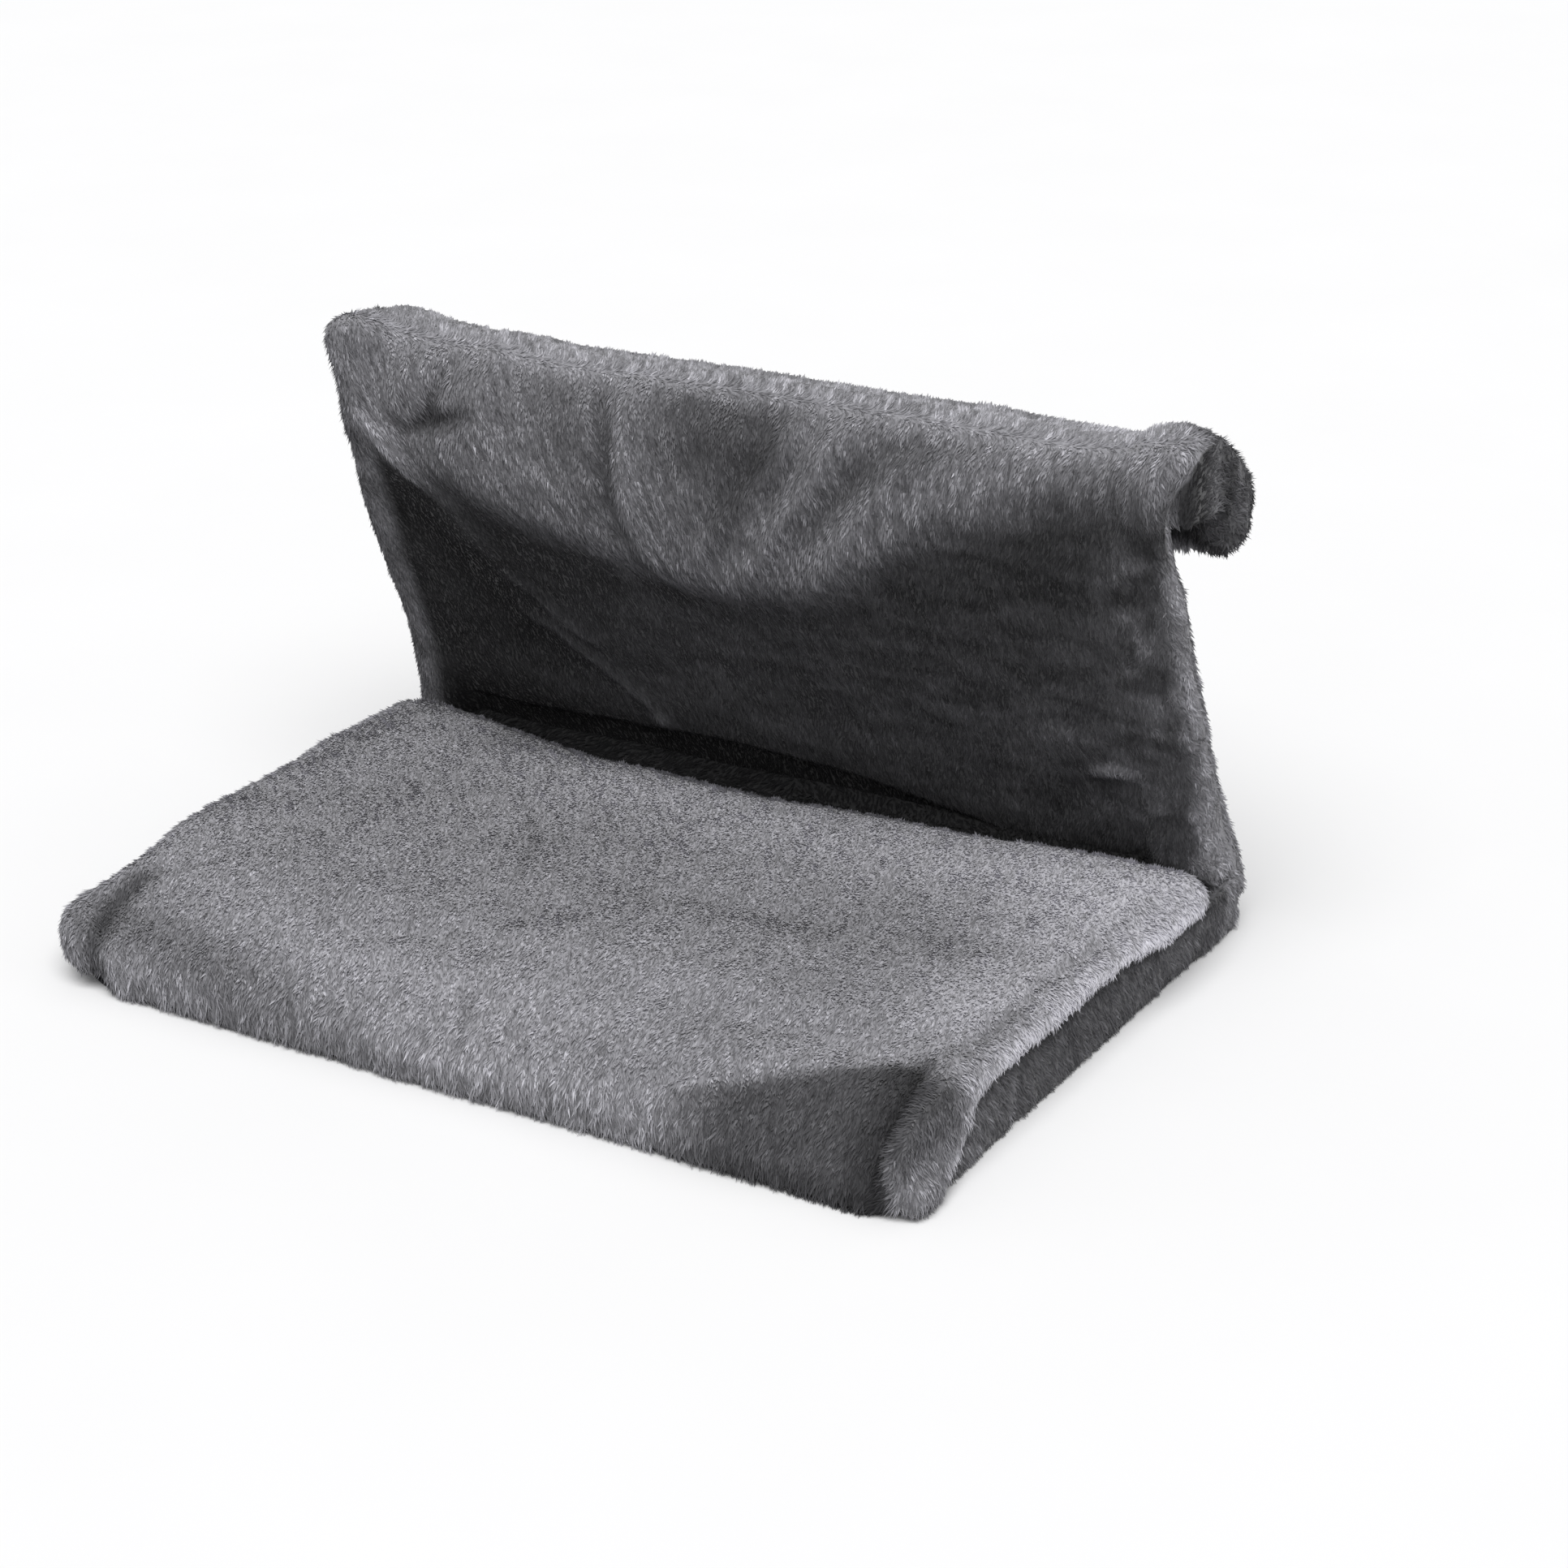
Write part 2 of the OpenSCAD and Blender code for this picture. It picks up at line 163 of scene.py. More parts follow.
# ------------------------------------------------------------------ meshes
def mesh_object(name, verts, faces, smooth_shading=True):
    """An object from numpy arrays, verts in metres, faces all with the same number of corners."""
    verts = np.asarray(verts, np.float32)
    faces = np.asarray(faces, np.int32)
    me = bpy.data.meshes.new(name)
    me.vertices.add(len(verts))
    me.vertices.foreach_set("co", verts.ravel())
    k = faces.shape[1]
    me.loops.add(faces.size)
    me.loops.foreach_set("vertex_index", faces.ravel())
    me.polygons.add(len(faces))
    me.polygons.foreach_set("loop_start", np.arange(0, faces.size, k, dtype=np.int32))
    me.polygons.foreach_set("loop_total", np.full(len(faces), k, np.int32))
    me.polygons.foreach_set("use_smooth", np.full(len(faces), bool(smooth_shading)))
    me.update(calc_edges=True)
    me.validate()
    ob = bpy.data.objects.new(name, me)
    scene.collection.objects.link(ob)
    return ob


def coords(ob):
    co = np.zeros(len(ob.data.vertices) * 3, np.float32)
    ob.data.vertices.foreach_get("co", co)
    return co.reshape(-1, 3).astype(float)


def set_coords(ob, co):
    ob.data.vertices.foreach_set("co", np.asarray(co, np.float32).ravel())
    ob.data.update()


def quads_of(ob):
    n = len(ob.data.polygons)
    q = np.zeros(len(ob.data.loops), np.int32)
    ob.data.loops.foreach_get("vertex_index", q)
    return q.reshape(n, -1)


def vertex_normals(co, quads):
    fn = np.cross(co[quads[:, 2]] - co[quads[:, 0]], co[quads[:, 3]] - co[quads[:, 1]])
    vn = np.zeros_like(co)
    for k in range(4):
        np.add.at(vn, quads[:, k], fn)
    return vn / np.maximum(np.linalg.norm(vn, axis=1, keepdims=True), 1e-12)


def box_grid(nx, ny, nz):
    """Welded grid on the surface of a box of nx by ny by nz cells: whole-number points and quads that face outwards."""
    quads = []

    def side(make, n0, n1, flip):
        a, b = np.meshgrid(np.arange(n0), np.arange(n1), indexing="ij")
        a, b = a.ravel(), b.ravel()
        q = [make(a, b), make(a + 1, b), make(a + 1, b + 1), make(a, b + 1)]
        quads.append(np.stack(q[::-1] if flip else q, 1))

    key = lambda i, j, k: (i * (ny + 1) + j) * (nz + 1) + k
    side(lambda a, b: key(a, b, nz), nx, ny, False)
    side(lambda a, b: key(a, b, 0 * a), nx, ny, True)
    side(lambda a, b: key(nx + 0 * a, a, b), ny, nz, False)
    side(lambda a, b: key(0 * a, a, b), ny, nz, True)
    side(lambda a, b: key(a, ny + 0 * a, b), nx, nz, True)
    side(lambda a, b: key(a, 0 * a, b), nx, nz, False)
    quads = np.concatenate(quads)
    keys, inverse = np.unique(quads, return_inverse=True)
    ijk = np.stack([keys // ((ny + 1) * (nz + 1)), keys // (nz + 1) % (ny + 1), keys % (nz + 1)], 1)
    return ijk, inverse.reshape(quads.shape)


def round_slab(p, lo, hi, r_top, r_low, corners):
    """Rounds a box's grid: its top and low edges, and in plan its four corners (x- y-, x+ y-, x- y+, x+ y+)."""
    p = p.copy()
    for r, up in ((r_top, True), (r_low, False)):
        dx = np.minimum(p[:, 0] - lo[0], hi[0] - p[:, 0])
        dy = np.minimum(p[:, 1] - lo[1], hi[1] - p[:, 1])
        dz = hi[2] - p[:, 2] if up else p[:, 2] - lo[2]
        a, b = r - np.minimum(dx, dy), r - dz
        on = (a > 0) & (b > 0)
        k = np.where(on, np.maximum(a, b) / np.maximum(np.hypot(a, b), 1e-9), 1.0)
        dx2 = np.where(on & (dx < r), r - (r - dx) * k, dx)
        dy2 = np.where(on & (dy < r), r - (r - dy) * k, dy)
        p[:, 0] += np.where(p[:, 0] - lo[0] < hi[0] - p[:, 0], 1, -1) * (dx2 - dx)
        p[:, 1] += np.where(p[:, 1] - lo[1] < hi[1] - p[:, 1], 1, -1) * (dy2 - dy)
        z2 = r - b * k
        p[:, 2] = np.where(on, hi[2] - z2 if up else lo[2] + z2, p[:, 2])
    for n, r in enumerate(corners):
        sx, sy = (1 if n % 2 else -1), (1 if n > 1 else -1)
        ex, ey = (hi[0] if sx > 0 else lo[0]), (hi[1] if sy > 0 else lo[1])
        a, b = r - sx * (ex - p[:, 0]), r - sy * (ey - p[:, 1])
        on = (a > 0) & (b > 0)
        k = np.where(on, np.maximum(a, b) / np.maximum(np.hypot(a, b), 1e-9), 1.0)
        p[:, 0] = np.where(on, ex - sx * (r - a * k), p[:, 0])
        p[:, 1] = np.where(on, ey - sy * (r - b * k), p[:, 1])
    return p


def inflate(p, quads, held, pressure, cap, frames=14):
    """Blender's cloth blows the closed form up a little, held where held is 1, and the result comes back in millimetres."""
    ob = mesh_object("inflating", p * 0.001, quads)
    group = ob.vertex_groups.new(name="held")
    for w in (0.35, 1.0):
        idx = np.flatnonzero((held >= w) & (held < (1.0 if w < 1 else 2)))
        if len(idx):
            group.add([int(i) for i in idx], w, "REPLACE")
    mod = ob.modifiers.new("cloth", "CLOTH")
    st = mod.settings
    st.quality = 4
    st.mass = 0.25
    st.tension_stiffness = st.compression_stiffness = 12
    st.shear_stiffness = 5
    st.bending_stiffness = 0.25
    st.use_pressure = True
    st.uniform_pressure_force = pressure
    st.effector_weights.gravity = 0
    st.vertex_group_mass = "held"
    st.pin_stiffness = 0.6
    mod.collision_settings.use_collision = False
    mod.collision_settings.use_self_collision = False
    mod.point_cache.frame_start, mod.point_cache.frame_end = 1, frames
    scene.frame_start, scene.frame_end = 1, frames
    for f in range(1, frames + 1):
        scene.frame_set(f)
    ev = ob.evaluated_get(bpy.context.evaluated_depsgraph_get())
    co = np.zeros(len(p) * 3, np.float32)
    ev.data.vertices.foreach_get("co", co)
    q = co.reshape(-1, 3).astype(float) * 1000.0
    me = ob.data
    bpy.data.objects.remove(ob)
    bpy.data.meshes.remove(me)
    scene.frame_set(1)
    d = q - p
    far = np.linalg.norm(d, axis=1)
    if not np.isfinite(far).all():
        return p
    return p + d * np.minimum(1, cap / np.maximum(far, 1e-9))[:, None]


def subdivide(p, quads, levels=1):
    """The points and quads after Catmull-Clark subdivision."""
    ob = mesh_object("subdividing", p * 0.001, quads)
    mod = ob.modifiers.new("sub", "SUBSURF")
    mod.levels = mod.render_levels = levels
    ev = ob.evaluated_get(bpy.context.evaluated_depsgraph_get())
    co = np.zeros(len(ev.data.vertices) * 3, np.float32)
    ev.data.vertices.foreach_get("co", co)
    q = np.zeros(len(ev.data.loops), np.int32)
    ev.data.loops.foreach_get("vertex_index", q)
    me = ob.data
    bpy.data.objects.remove(ob)
    bpy.data.meshes.remove(me)
    return co.reshape(-1, 3).astype(float) * 1000.0, q.reshape(-1, 4)

# ------------------------------------------------------------------ seat
SEAT_LO, SEAT_HI = np.array([-227.5, 2.0, 1.2]), np.array([227.5, 289.0, 39.5])
FRONT_X = [-228, -205, -170, -120, -60, 0, 60, 100, 130, 160, 190, 208, 214, 220, 226, 231]
FRONT_Z = [21, 20, 20, 22, 19, 18, 21, 25, 21, 14, 9, 9, 17, 28, 29, 24]
FRONT_Y = [66, 70, 68, 60, 58, 58, 56, 50, 46, 46, 47, 48, 40, 30, 26, 26]
REAR_X = [-232, -222, -202, -150, -63, -16, 60, 130, 185, 208, 222, 232]
REAR_Y = [279, 285, 287, 285, 277, 273, 279, 282, 286, 287, 282, 268]
SEAM_Y = [10, 28, 42, 49, 56, 64, 78, 100, 140, 190, 240, 287, 325]
SEAM_Z = [2, 5, 8, 13, 20, 26, 29, 30.5, 30, 31, 29.5, 27, 25]


def near(x, y, pts, width):
    """1 on a polyline, falling off to both sides over the width."""
    return np.exp(-(polyline_distance(x, y, pts)[0] / width) ** 2)


def seat_height(x, y):
    """Height of the cushion's top before its folds."""
    full = 39.5 + 2.6 * (1 - (x / 240) ** 2) * np.clip(1 - ((y - 165) / 150) ** 2, 0, 1)
    full = full + 3.0 * smooth(x, -150, -212) * smooth(y, 64, 110)
    full = full - 2.6 * bump(x, -105, 75) * smooth(y, 244, 272)
    a = table(x, FRONT_X, FRONT_Z)
    b = table(x, FRONT_X, FRONT_Y)
    t = np.clip(y / b, 0, 1)
    h = a + (full - a) * (1 - (1 - t) ** 1.9)
    h -= 3.5 * smooth(x, -150, -228) * smooth(y, 100, 30) * smooth(y, 6, 30)
    return h


CREASES = ([(-77, 183), (-70, 174), (-62, 164)], [(-57, 160), (-50, 147), (-44, 133), (-38, 121)], [(1, 30), (4, 22), (7, 14)], [(-176, 76), (-184, 66)])


def seat_folds(p):
    """Soft marks and creases of the cushion, as a push along the normal, in millimetres."""
    x, y, z = p.T
    x = x - 0.24 * np.maximum(28 - z, 0) * smooth(y, 32, 10) * (x > 150)
    d = 0.9 * noise(p, (70, 55, 200), 3) + 0.5 * noise(p, (28, 22, 60), 4)
    on_top = smooth(z, 24, 34)
    # long shallow hollows that run across the seat
    d -= 1.2 * near(x, y, [(-90, 40), (-40, 62), (-10, 90), (8, 108)], 9) * on_top
    d -= 1.5 * near(x, y, [(10, 128), (60, 140), (130, 150), (190, 168)], 17) * on_top
    d -= 1.0 * near(x, y, [(-185, 150), (-160, 172), (-130, 184)], 16) * on_top
    d -= 1.0 * near(x, y, [(150, 64), (190, 76), (215, 82)], 10) * on_top
    d -= 1.8 * near(x, y, [(216, 92), (215, 150), (217, 200), (219, 244)], 4.2) * on_top * (1 + 0.6 * noise(p, (300, 16, 300), 15))
    for pts in CREASES:
        d -= 1.0 * near(x, y, pts, 2.6) * on_top
    # the deep corner crease at the right and the valley at the left
    r, t = polyline_distance(x, y, [(212, 0), (213, 22), (211, 46), (208, 64)])
    d -= 3.6 * np.exp(-(r / 4.5) ** 2) * (1 - 0.8 * t)
    r, t = polyline_distance(x, y, [(-191, -2), (-198, 16), (-204, 40), (-200, 62)])
    d -= 4.6 * np.exp(-(r / 6.0) ** 2) * (1 - 0.7 * t)
    # puckers along the front roll
    front = smooth(y, 34, 6)
    d += front * (1.1 * noise(p, (17, 40, 22), 8) + 0.5 * noise(p, (8, 30, 12), 9))
    side = smooth(np.abs(x), 214, 224)
    d += side * (0.9 * noise(p, (40, 24, 30), 10) + 0.5 * noise(p, (40, 11, 18), 11))
    return d


def build_seat():
    nx, ny, nz = 114, 68, 9
    ijk, quads = box_grid(nx, ny, nz)
    p = SEAT_LO + (SEAT_HI - SEAT_LO) * ijk / np.array([nx, ny, nz])
    p = round_slab(p, SEAT_LO, SEAT_HI, 9.0, 4.0, (30, 12, 16, 15))
    p[:, 1] -= (SEAT_HI[1] - table(p[:, 0], REAR_X, REAR_Y)) * smooth(p[:, 1], 150, 289)
    h = seat_height(p[:, 0], p[:, 1])
    z0, z1 = SEAT_LO[2], SEAT_HI[2]
    p[:, 2] = z0 + (p[:, 2] - z0) * (h - z0) / (z1 - z0)
    held = np.where(p[:, 2] < 5.0, 1.0, np.where((p[:, 1] < 60) | (np.abs(p[:, 0]) > 216), 0.35, 0.0))
    p = inflate(p, quads, held, 3.0, 4.0)
    p, quads = subdivide(p, quads)
    n = vertex_normals(p, quads)
    p = p + n * seat_folds(p)[:, None]
    # under its side seams the cushion steps in, and the band covers that step
    seam = table(p[:, 1], SEAM_Y, SEAM_Z)
    step = smooth(np.abs(p[:, 0]), 205, 222) * smooth(p[:, 2], seam + 1.0, seam - 2.0) * smooth(p[:, 1], 24, 34)
    p[:, 0] -= np.sign(p[:, 0]) * step * 5.5
    # the right side spreads at its foot, and the left front corner is lifted and drawn in
    foot = smooth(p[:, 0], 196, 222) * smooth(p[:, 2], 26, 4) * smooth(p[:, 1], 60, 20)
    p[:, 0] += 7.0 * foot
    p[:, 0] += (2.4 - 5.0 * smooth(p[:, 1], 180, 250) + 2.0 * smooth(p[:, 1], 150, 50) - 3.6 * smooth(p[:, 1], 46, 18) + 3.2 * bump(p[:, 1], 62, 40)) * smooth(p[:, 0], -198, -226)
    outside = np.where((p[:, 0] < -181) & (p[:, 1] < 44), np.hypot(p[:, 0] + 181, p[:, 1] - 44) - 30, np.maximum(-p[:, 0] - 211, 14 - p[:, 1]))
    lift = smooth(p[:, 0], -172, -222) * smooth(p[:, 1], 60, 8) * smooth(outside, 1.5, 9)
    p[:, 2] += 11.5 * lift * np.clip(1 - p[:, 2] / 36, 0, 1)
    # the rear right corner reaches out over the band
    p[:, 0] += 7.5 * smooth(p[:, 0], 176, 222) * smooth(p[:, 1], 150, 256) * smooth(p[:, 2], 10, 24)
    lip = smooth(np.abs(p[:, 0]), 212, 224) * np.exp(-((p[:, 2] - seam - 3.5) / 4.2) ** 2) * smooth(p[:, 1], 30, 50)
    wave = 1 + 0.5 * noise(p, (300, 20, 300), 12) + 0.3 * noise(p, (300, 8, 300), 13)
    p[:, 0] += np.sign(p[:, 0]) * lip * 2.0 * wave
    p[:, 2] -= lip * 0.8 * (wave - 1)
    p[:, 2] = np.maximum(p[:, 2], 0.9)
    return p, quads


def build_band(sign):
    """The side band under the seam, a 3 mm strip from the front corner to the rear skirt."""
    ny, nz = 150, 16
    ijk, quads = box_grid(ny, nz, 2)
    v, w, t = ijk[:, 0] / ny, ijk[:, 1] / nz, ijk[:, 2] / 2
    y = 20 + v * 294
    top = table(y, SEAM_Y, SEAM_Z) + 1.5
    z = 1.0 + w * (top - 1.0)
    belly = 1.4 * np.sin(np.pi * w) ** 0.7 + 4.2 * (1 - w) ** 1.3 * smooth(y, 20, 60)
    x = 221.6 + belly + 3.0 * t + 1.2 * smooth(y, 250, 300) - 3.0 * smooth(y, 40, 22)
    if sign > 0:
        x = x + smooth(y, 170, 256) * (-1.0 + 7.4 * w) * (1 - 0.35 * smooth(y, 286, 312)) + 2.4 * smooth(y, 70, 30) * (1 - w)
    else:
        x = x - 2.2
    p = np.stack([sign * x, y, z], 1)
    p[:, 0] += sign * t * (0.7 * noise(p, (60, 26, 40), 41) + 0.35 * noise(p, (60, 11, 14), 42))
    # a pucker where the band is gathered
    p[:, 0] -= sign * t * 1.6 * np.exp(-((y - 96 - 0.4 * z) / 2.2) ** 2)
    if sign < 0:
        quads = quads[:, ::-1]
    return subdivide(p, quads)


def build_skirt():
    """The rear of the seat's cover, which closes the valley under the fold and both its ends."""
    nx, ny, nz = 100, 16, 8
    lo, hi = np.array([-226.0, 250.0, 1.2]), np.array([226.0, 317.0, 30.0])
    ijk, quads = box_grid(nx, ny, nz)
    p = lo + (hi - lo) * ijk / np.array([nx, ny, nz])
    p = round_slab(p, lo, hi, 6.0, 3.0, (3, 3, 12, 12))
    top = smooth(p[:, 2], 18, 30)
    mid = 1 - smooth(np.abs(p[:, 0]), 150, 222)
    p[:, 2] += top * (-3.0 * mid * bump(p[:, 1], 282, 22) + 6 * smooth(p[:, 1], 288, 304))
    p, quads = subdivide(p, quads)
    n = vertex_normals(p, quads)
    d = 1.0 * noise(p, (50, 30, 30), 51) + 0.6 * noise(p, (18, 14, 14), 52)
    p = p + n * d[:, None]
    full = smooth(np.abs(p[:, 0]), 176, 220)
    p[:, 1] += 6.5 * full * smooth(p[:, 1], 292, 316)
    p[:, 0] += 3.0 * np.sign(p[:, 0]) * full * smooth(p[:, 1], 292, 312)
    p[:, 2] = np.maximum(p[:, 2], 0.9)
    return p, quads


# ------------------------------------------------------------------ back
PATH = [(0, 103.0, 0.0), (1, 10.2, 120.0), (0, 53.0, 0.0), (1, 136.8, 22.0), (0, 17.0, 0.0), (1, 40.0, 16.0), (0, 60.0, 0.0)]
PIVOT = (303.9, 50.0)
LEAN = 112.0


def tube_path(s):
    """(y, z, angle) of the back tube's centreline at the length s above the pivot."""
    s = np.asarray(s, float)
    y = np.empty_like(s)
    z = np.empty_like(s)
    a = np.empty_like(s)
    py, pz, pa, start = PIVOT[0], PIVOT[1], math.radians(LEAN), 0.0
    for k, (kind, amount, radius) in enumerate(PATH):
        length = amount if kind == 0 else math.radians(amount) * radius
        on = (s >= start) if k else np.ones(len(s), bool)
        d = s[on] - start
        if kind == 0:
            y[on], z[on], a[on] = py + d * math.cos(pa), pz + d * math.sin(pa), pa
            py, pz = py + length * math.cos(pa), pz + length * math.sin(pa)
        else:
            cy, cz = py + radius * math.cos(pa - math.pi / 2), pz + radius * math.sin(pa - math.pi / 2)
            t = d / radius
            y[on] = cy + radius * np.cos(pa + math.pi / 2 - t)
            z[on] = cz + radius * np.sin(pa + math.pi / 2 - t)
            a[on] = pa - t
            pa -= math.radians(amount)
            py, pz = cy + radius * math.cos(pa + math.pi / 2), cz + radius * math.sin(pa + math.pi / 2)
        start += length
    return y, z, a


def on_back(f):
    """Bends flat back coordinates (x, length along the tube, thickness, minus at the front) into place."""
    y, z, a = tube_path(f[:, 1])
    return np.stack([f[:, 0], y + f[:, 2] * np.cos(a - math.pi / 2), z + f[:, 2] * np.sin(a - math.pi / 2)], 1)


CROWN_S = 103 + math.radians(10.2) * 120 + 53      # where the crown's bend begins
TIP_S = 294.0
SIDE_S = [90, 110, 135, 150, 165, 175, 190, 202, 225, 250, 294]
SIDE_OUT = [0, -0.5, -2.0, -4.6, -7.4, -7.0, -2.5, 4.0, 4.5, 4.5, 4.0]
LOW_S = -47.0
ZIP_S, ZIP_X = 62.0, 191.0


def back_thickness(x, s):
    """How far the sleeve's front and rear faces stand from the tube's centreline."""
    front = table(s, [-47, -20, 10, 60, 110, 160, 185, 205, 225, 250, 275, 294], [7.5, 8, 8.5, 8, 7.5, 8.5, 8.0, 6.6, 7.0, 11.2, 14.0, 12.0])
    rear = table(s, [-47, -30, -5, 20, 60, 110, 160, 190, 230, 262, 294], [9.5, 10, 7.5, 8.2, 9.2, 8, 7, 5.5, 5.2, 8.5, 11])
    # room for the hinges
    hinge = smooth(np.abs(x), 190, 201)
    front = front + hinge * (7.6 * bump(s, -3, 36) + 2.8 * bump(s, -15, 16))
    rear = rear + 3.8 * hinge * bump(s, 0, 32)
    rear = rear + 6.0 * bump(s, -6, 24) * smooth(np.abs(x), 196, 203) * (1 - 0.8 * smooth(np.abs(x), 218, 225))
    # the hook's ends: a flat shoulder behind the crown, and a full soft tip
    end = smooth(np.abs(x), 209, 220)
    front = front + end * table(s, [185, 205, 218, 233, 250, 258, 268, 276, 284, 294], [0, 1.8, -1.8, -7.2, -7.6, -2.6, 0.4, 0.4, -3.4, -6.6])
    full = smooth(np.abs(x), 203, 217)
    rear = rear + full * table(s, [175, 190, 205, 225, 245, 262, 280, 294], [0, 3.0, 8.0, 10.5, 10.5, 9.5, 8.0, 4.0])
    return front, rear


def ear_rise(x, s):
    """How far the crown's outer cloth stands off its bend in the sharp fold at its left end."""
    phi = np.radians(LEAN - 10.2 + 90) - (s - CROWN_S) / 22.0
    k = np.minimum(29.0 / np.maximum(np.cos(math.radians(191.8) - phi), 0.2), 28.6 / np.maximum(np.sin(np.clip(phi, 0.2, math.pi)), 0.2))
    r = np.where((phi < math.radians(191.8)) & (phi > math.radians(88)), np.minimum(k, 46.0), 29.0)
    return np.maximum(r - 29.0, 0) * (smooth(x, -190, -217) + 0.22 * smooth(x, 198, 221))


LINE_X = [-230, -212, -195, -165, -140, -90, -40, 0, 40, 62, 90, 130, 165, 200, 230]
LINE_S = [150, 153, 144, 134, 126, 118, 110, 106, 110, 122, 143, 163, 176, 183, 183]


def cowl(x, s):
    """How far the front cloth hangs forward above the line where it swings under."""
    above = s - table(x, LINE_X, LINE_S)
    height = table(x, [-230, -205, -150, -60, 0, 60, 120, 180, 230], [2, 5, 9, 11, 11.5, 10.5, 8, 5, 4])
    return height * smooth(above, -14, 16) * (1 - 0.9 * smooth(s, 168, 206)), above


# folds of the front cloth as (points, half width, height, share of the tone, which paints shade in their valleys and
# highlights on their ridges)
FOLDS = (
    ([(-82, 206), (-72, 192), (-65, 175), (-61, 152), (-57, 136), (-50, 118)], 6.2, -3.8, -0.50),
    ([(-52, 204), (-53, 180), (-50, 155), (-44, 135), (-36, 112)], 6.5, 3.0, 0.10),
    ([(-122, 196), (-98, 191), (-78, 196)], 10, -2.0, -0.34),
    ([(14, 206), (18, 194), (22, 184), (13, 168), (3, 150), (0, 142)], 9.5, -3.8, -0.62),
    ([(-34, 195), (-4, 191), (22, 191), (34, 197)], 10.5, -1.6, -0.88),
    ([(66, 196), (84, 193), (112, 193)], 11, -0.4, -0.22),
    ([(38, 196), (27, 178), (12, 160), (-4, 142), (-14, 126)], 5.5, 3.2, 0.12),
    ([(44, 190), (36, 174), (24, 158)], 3.5, -1.6, -0.22),
    ([(64, 198), (49, 173), (34, 152), (18, 130), (4, 116)], 5.5, 3.2, 0.15),
    ([(126, 198), (98, 191), (78, 186), (64, 170), (52, 156), (42, 144)], 6.8, -3.6, -0.56),
    ([(104, 188), (86, 176), (72, 158), (60, 140), (50, 124)], 6.0, 2.4, 0.12),
    ([(-30, 160), (-24, 172), (-10, 170)], 9, -0.8, -0.16),
    # wide soft painted shade between the folds
    ([(-180, 156), (-152, 140), (-122, 128)], 15, -0.6, -0.34),
    ([(-98, 190), (-86, 176), (-76, 158), (-66, 138)], 13, -0.6, -0.30),
    ([(-40, 186), (-8, 181), (18, 176)], 14, -0.8, -0.46),
    ([(-6, 176), (-2, 158), (-14, 146)], 10, -0.6, -0.36),
    ([(-214, 190), (-180, 198), (-120, 200)], 16, 0.0, -0.12),
    # the pulled ridge from the left edge down to the middle, with a painted highlight, and the slack under it, with
    # painted shade
    ([(-206, 176), (-193, 160), (-177, 141), (-162, 124), (-151, 108), (-140, 90)], 6.0, 4.6, 0.9),
    ([(-140, 90), (-124, 76), (-110, 62), (-97, 52)], 3.2, 2.8, 0.5),
    ([(-142, 64), (-122, 58), (-106, 44), (-84, 26), (-66, 10)], 3.2, 2.4, 0.5),
    ([(-216, 146), (-204, 122), (-186, 104), (-166, 80), (-144, 50), (-118, 30)], 13, -3.4, -0.42),
    # the pinch at the upper left, with painted shade in it
    ([(-180, 166), (-166, 171), (-154, 174), (-143, 177)], 4.8, -4.6, -0.74),
    ([(-169, 172), (-164, 183), (-159, 193)], 4.0, -3.8, -0.66),
    ([(-188, 176), (-178, 188), (-166, 200)], 6.0, 2.4, 0.08),
    # the lower right: a lifted patch, and slack over the fold; the patch and the ridges here carry painted highlights,
    # the hollows painted shade
    ([(172, 38), (182, 40), (192, 39)], 3.0, 2.6, 2.6),
    ([(168, 30), (182, 31), (194, 31)], 3.0, -2.4, -0.35),
    ([(206, 92), (210, 84), (204, 70)], 4.5, 1.8, 0.7),
    ([(196, 168), (202, 160), (204, 150)], 6.0, 1.4, 0.8),
    ([(150, 56), (166, 58), (178, 52)], 6.0, 1.4, 0.5),
    ([(160, 40), (158, 22), (140, 8)], 9.0, -1.4, -0.25),
    ([(198, 12), (210, 16), (220, 14)], 5.0, -2.0, -0.4),
    # a small ridge low at the left, with a painted highlight
    ([(-74, 12), (-66, 10)], 4.0, 1.8, 1.6),
    ([(36, 98), (26, 84), (16, 64), (10, 44)], 8.0, -1.0, -0.12),
)


# where the front cloth's slack turns under, low down behind the seat
HEM_X = [-200, -160, -113, -72, -34, 3, 36, 68, 99, 130]
HEM_S = [2, 1, 2, 3.5, 5.5, 3.3, -0.2, -6.5, -12.4, -20]


def fold_shape(x, s, pts, width):
    r, t = polyline_distance(x, s, pts)
    return np.exp(-(r / width) ** 2) * np.sin(np.pi * np.clip(0.1 + 0.85 * t, 0, 1)) ** 0.5


def back_folds(f):
    """Extra push of the front cloth, in millimetres, over its flat coordinates."""
    x, s, n = f.T
    d, above = cowl(x, s)
    fade = 1 - smooth(s, 190, 212)
    for pts, width, height, _ in FOLDS:
        d += height * fold_shape(x, s, pts, width) * fade
    d += 1.2 * noise(f, (60, 45, 60), 21) + 0.6 * noise(f, (24, 20, 30), 22)
    hem = s - table(x, HEM_X, HEM_S)
    d += 2.2 * smooth(hem, -1.5, 2.5) * smooth(hem, 40, 8) * (1 - smooth(np.abs(x), 176, 200))
    return d


CROWN_X = [-232, -216, -205, -198, -188, -164, -152, -137, -122, -100, 0, 98, 178, 194, 209, 232]
CROWN_DROP = [-3.4, -2.4, -1.0, 1.0, 2.6, 5.8, 5.8, 4.0, 7.6, 9.2, 9.4, 9.6, 9.4, 7.2, 0.8, -3.5]


